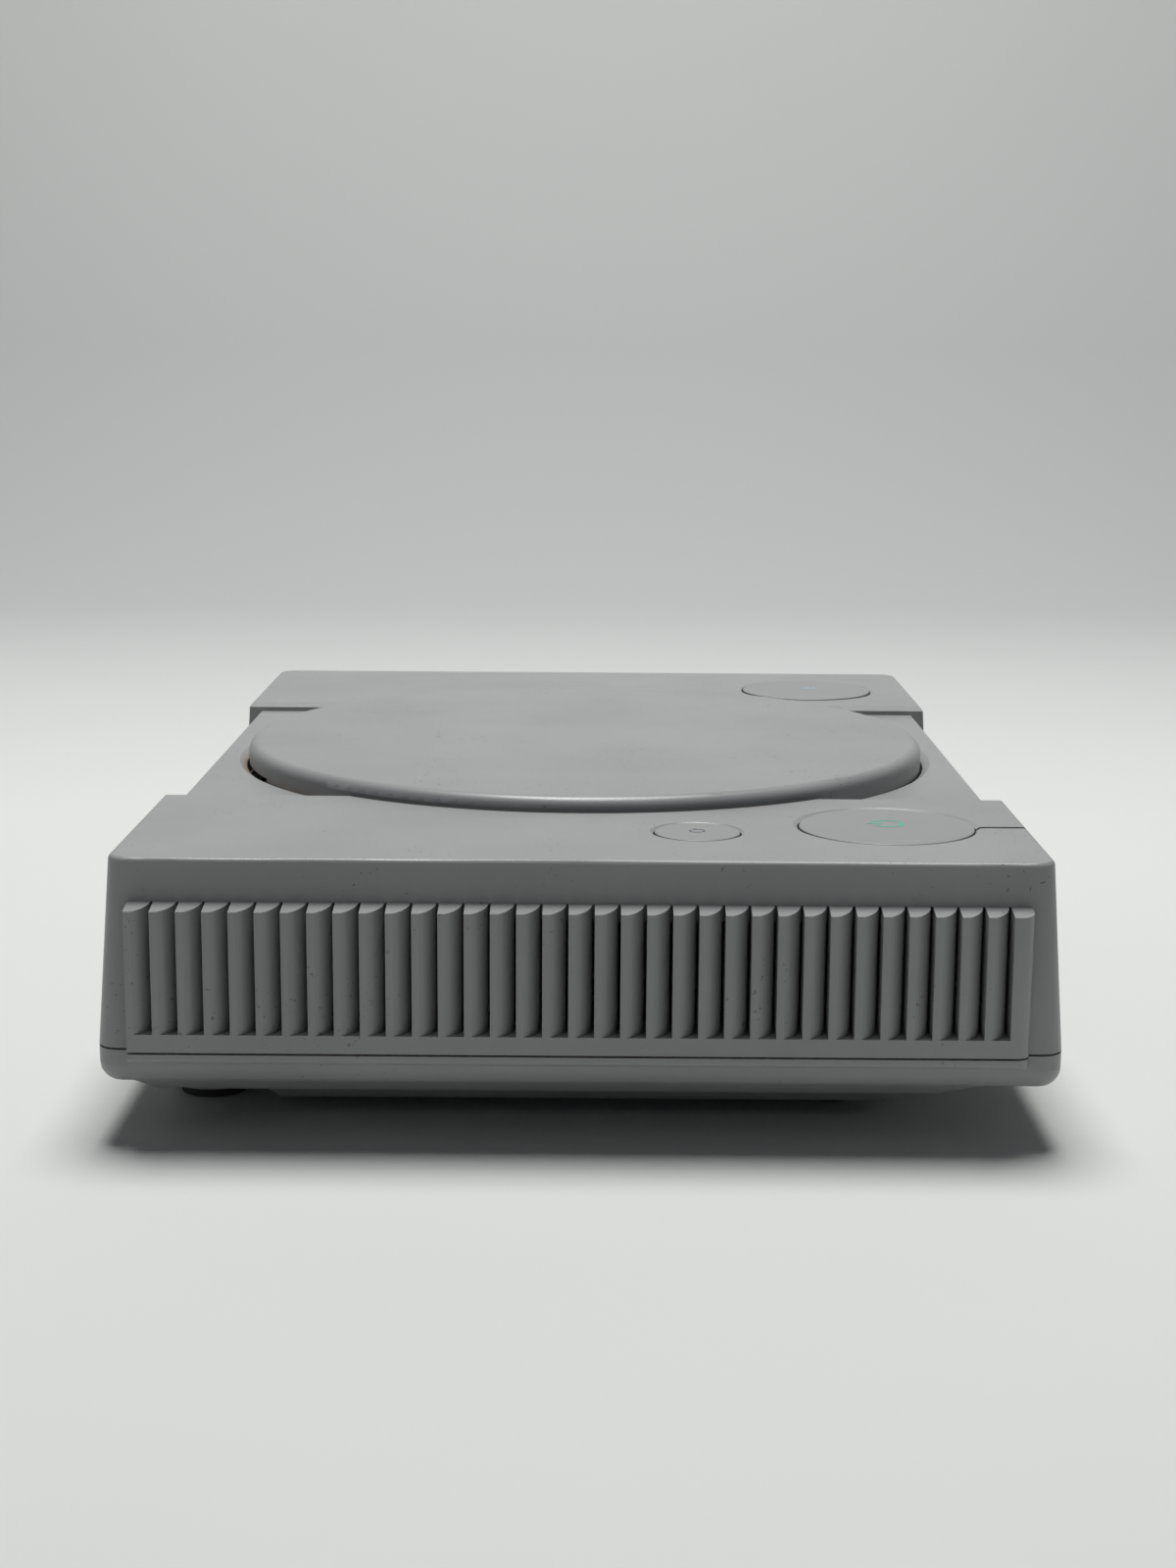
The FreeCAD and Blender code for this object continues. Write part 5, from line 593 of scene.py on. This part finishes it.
class CONSOLE_OT_springs(bpy.types.Operator):
    """Wind the lid's two torsion springs round their pins, and the spring under each button"""

    bl_idname = "console.springs"
    bl_label = "Springs"

    def execute(self, context):
        looks = context.scene.console_looks
        wire_steel = drawn_metal("spring_wire", "b6b7b9", "9a9b9d", 0.28, "X")
        self.wind_hinge_springs(looks, wire_steel)
        for name, joint in BUTTON_SPRINGS.items():
            self.wind_button_spring(looks, wire_steel, name, joint)
        return {"FINISHED"}

    def wind_hinge_springs(self, looks, material):
        """Both springs as one piece, in place of the plain tubes."""
        outside = (SPRING_HIGH.z - SPRING_LOW.z) / 2
        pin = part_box("hinge_pins")
        bore = (pin[1][2] - pin[0][2]) / 2
        wire = (outside - bore) * HINGE_WIRE_SHARE
        middle = (SPRING_LOW + SPRING_HIGH) / 2
        length = SPRING_HIGH.x - middle.x - HINGE_SPRING_START
        springs = bmesh.new()
        for side in (-1, 1):
            centre = middle + Vector((side * (HINGE_SPRING_START + wire), 0, 0))
            climb = Vector((side * (length - 2 * wire), 0, 0))
            wind_spring(springs, centre, Vector((0, 0, outside - wire)), climb, wire, looks.spring_turns)
        piece = finish_piece(springs, "hinge_springs", "console", material)
        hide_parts("lid_springs")

    def wind_button_spring(self, looks, material, name, joint):
        """One coil between its seat and the button."""
        low, high = (Vector(corner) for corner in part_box(name))
        wire = looks.button_wire / 2
        centre = Vector(((low.x + high.x) / 2, (low.y + high.y) / 2, low.z + wire))
        length = high.z - low.z - BUTTON_SPRING_GAP
        spring = bmesh.new()
        outward = Vector(((high.x - low.x) / 2 - wire, 0, 0))
        wind_spring(spring, centre, outward, Vector((0, 0, length - 2 * wire)), wire, looks.button_turns)
        piece = finish_piece(spring, name + "_coil", "console", material)
        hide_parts(name)
        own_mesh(piece)


class CONSOLE_OT_front(bpy.types.Operator):
    """Finish the front housing, its shutters and contacts"""

    bl_idname = "console.front"
    bl_label = "Front housing"

    def execute(self, context):
        dress(smooth_plastic("socket_abs", "3b3b3d", "323234"), "port_housing")
        dress(smooth_plastic("shutter_abs", "454547", "3c3c3e"), "left_shutter", "right_shutter")
        brass = drawn_metal("plated_brass", "d8b25c", "b98f3f", 0.22, "Y")
        dress(brass, "controller_contacts", "card_contacts", "inlet_pins", "motor_pinion")
        return {"FINISHED"}


class CONSOLE_OT_boards(bpy.types.Operator):
    """Finish the boards, shields and electronic pieces"""

    bl_idname = "console.boards"
    bl_label = "Boards"

    def execute(self, context):
        dress(circuit_board("solder_mask"), "main_board", "power_board", "port_board")
        dress(drawn_metal("tinned_sheet", "c9cbcc", "b3b5b6", 0.34, "Y"), "lower_shield", "upper_shield")
        black = smooth_plastic("black_nylon", "1b1b1c", "121213", 0.45)
        dress(black, "lid_switch", "lid_plunger", "power_switch", "reset_switch", "mains_inlet")
        dress(black, "video_connector", "serial_connector", "parallel_connector", "main_chips", "lid_latch")
        dress(smooth_plastic("sleeve_film", "23262e", "1b1d24", 0.3), "capacitors")
        dress(smooth_plastic("yellow_tape", "c9a63c", "b48f2f", 0.35), "transformer")
        dress(drawn_metal("extruded_aluminium", "d2d4d6", "bcbec1", 0.3, "Z"), "heat_sink")
        dress(clear_acrylic("fuse_glass", "e4ecef"), "fuse", "objective_lens")
        dress(clear_acrylic("light_acrylic", "cfe6cd"), "light_pipe", "power_light")
        return {"FINISHED"}


class CONSOLE_OT_drive(bpy.types.Operator):
    """Finish the disc drive"""

    bl_idname = "console.drive"
    bl_label = "Disc drive"

    def execute(self, context):
        dress(
            smooth_plastic("drive_nylon", "232325", "1a1a1c", 0.42), "drive_base", "turntable", "lens_holder"
        )
        dress(smooth_plastic("sled_resin", "3a3a3d", "303033", 0.4), "laser_sled", "power_plunger")
        dress(smooth_plastic("acetal", "e6e5df", "d9d7cf", 0.3), "sled_gear")
        steel = drawn_metal("ground_steel", "b9bbbf", "a3a5a9", 0.24)
        dress(steel, "guide_rod", "spindle_motor", "sled_motor", "clamp_balls", "hinge_pins", "shutter_pins")
        return {"FINISHED"}


class CONSOLE_OT_fittings(bpy.types.Operator):
    """Finish the screws, rubber mounts and feet"""

    bl_idname = "console.fittings"
    bl_label = "Screws and feet"

    def execute(self, context):
        zinc = drawn_metal("zinc_steel", "c2c3c4", "a9aaab", 0.3)
        dress(zinc, "case_screws", "board_screws")
        dress(moulded_rubber("foot_rubber"), "rubber_feet", "dampers")
        return {"FINISHED"}


class CONSOLE_OT_stage(bpy.types.Operator):
    """Set up the backdrop, lamp, room light and camera"""

    bl_idname = "console.stage"
    bl_label = "Studio"

    def execute(self, context):
        studio = context.scene.console_studio
        self.add_backdrop(context, studio)
        self.add_lamp(context, studio)
        self.light_room(context, studio)
        self.add_camera(context, studio)
        context.scene.view_settings.view_transform = "Standard"
        return {"FINISHED"}

    def add_backdrop(self, context, studio):
        """A floor that curves up into a wall behind the console."""
        floor_start, bend_start, bend_radius, wall_top, half_width = -2.5, 0.75, 0.5, 2.4, 2.6
        sweep = bmesh.new()
        ends = [sweep.verts.new((x, -half_width, 0)) for x in (floor_start, bend_start)]
        sweep.edges.new(ends)
        bend = bmesh.ops.spin(
            sweep,
            geom=[ends[1]],
            cent=(bend_start, 0, bend_radius),
            axis=(0, 1, 0),
            angle=-FULL_TURN / 4,
            steps=24,
        )
        top = [one for one in bend["geom_last"] if isinstance(one, bmesh.types.BMVert)]
        wall = bmesh.ops.extrude_vert_indiv(sweep, verts=top)["verts"]
        bmesh.ops.translate(sweep, verts=wall, vec=(0, 0, wall_top - bend_radius))
        widened = bmesh.ops.extrude_edge_only(sweep, edges=list(sweep.edges))["geom"]
        moved = [one for one in widened if isinstance(one, bmesh.types.BMVert)]
        bmesh.ops.translate(sweep, verts=moved, vec=(0, 2 * half_width, 0))
        bmesh.ops.recalc_face_normals(sweep, faces=sweep.faces)
        for face in sweep.faces:
            face.smooth = True
        data = bpy.data.meshes.new("backdrop")
        sweep.to_mesh(data)
        sweep.free()
        data.materials.append(backdrop_paper("seamless_paper", studio.backdrop))
        backdrop = bpy.data.objects.new("backdrop", data)
        context.scene.collection.objects.link(backdrop)

    def add_lamp(self, context, studio):
        """One wide lamp overhead, a little past the console."""
        data = bpy.data.lights.new("overhead_lamp", "AREA")
        data.shape = "DISK"
        data.size = studio.lamp_size
        data.energy = studio.lamp_power
        lamp = bpy.data.objects.new("overhead_lamp", data)
        context.scene.collection.objects.link(lamp)
        lamp.location = studio.lamp_place
        lamp.rotation_euler = (-Vector(studio.lamp_place)).to_track_quat("-Z", "Y").to_euler()

    def light_room(self, context, studio):
        """Weak light from all round; gloss, clear pieces and the camera see a pale room."""
        world = bpy.data.worlds.new("room")
        context.scene.world = world
        world.use_nodes = True
        world.node_tree.nodes.clear()
        add = functools.partial(add_node, world.node_tree)
        rays = add("ShaderNodeLightPath").outputs
        seen = add(
            "ShaderNodeMath", {0: rays["Is Camera Ray"], 1: rays["Is Glossy Ray"]}, operation="MAXIMUM"
        )
        seen = add("ShaderNodeMath", {0: seen, 1: rays["Is Transmission Ray"]}, operation="MAXIMUM")
        strength = {"Value": seen, "To Min": studio.ambient, "To Max": studio.surround}
        strength = add("ShaderNodeMapRange", strength)
        light = add("ShaderNodeBackground", {"Color": from_hex("e6edf6"), "Strength": strength})
        add("ShaderNodeOutputWorld", {"Surface": light})

    def add_camera(self, context, studio):
        """The photograph's camera: it stands on the console's left and looks a little down."""
        pitch, yaw, roll = studio.pitch, studio.yaw, studio.roll
        forward = Vector(
            (math.cos(pitch) * math.cos(yaw), math.cos(pitch) * math.sin(yaw), -math.sin(pitch))
        )
        level = Vector((math.sin(yaw), -math.cos(yaw), 0))
        upright = level.cross(forward)
        right = math.cos(roll) * level + math.sin(roll) * upright
        up = math.cos(roll) * upright - math.sin(roll) * level
        data = bpy.data.cameras.new("camera")
        data.lens = studio.lens
        data.clip_start = 10 * MM
        camera = bpy.data.objects.new("camera", data)
        context.scene.collection.objects.link(camera)
        axes = Matrix((right, up, -forward)).transposed().to_4x4()
        camera.matrix_world = Matrix.Translation(studio.camera_place) @ axes
        context.scene.camera = camera


STEPS = (
    CONSOLE_OT_case,
    CONSOLE_OT_buttons,
    CONSOLE_OT_springs,
    CONSOLE_OT_front,
    CONSOLE_OT_boards,
    CONSOLE_OT_drive,
    CONSOLE_OT_fittings,
    CONSOLE_OT_stage,
)


class CONSOLE_PT_panel(bpy.types.Panel):
    """The steps that dress the console"""

    bl_label = "Console"
    bl_space_type = "VIEW_3D"
    bl_region_type = "UI"
    bl_category = "Console"

    def draw(self, context):
        for group in (context.scene.console_looks, context.scene.console_studio):
            for name in group.__annotations__:
                self.layout.prop(group, name)
        for step in STEPS:
            self.layout.operator(step.bl_idname)


CLASSES = (ConsoleLooks, StudioLooks) + STEPS + (CONSOLE_PT_panel,)


def register():
    for one in CLASSES:
        bpy.utils.register_class(one)
    bpy.types.Scene.console_looks = PointerProperty(type=ConsoleLooks)
    bpy.types.Scene.console_studio = PointerProperty(type=StudioLooks)


def unregister():
    del bpy.types.Scene.console_studio
    del bpy.types.Scene.console_looks
    for one in reversed(CLASSES):
        bpy.utils.unregister_class(one)


def main():
    register()
    bpy.ops.console.case()
    bpy.ops.console.buttons()
    bpy.ops.console.springs()
    bpy.ops.console.front()
    bpy.ops.console.boards()
    bpy.ops.console.drive()
    bpy.ops.console.fittings()
    bpy.ops.console.stage()


if __name__ == "__main__":
    main()
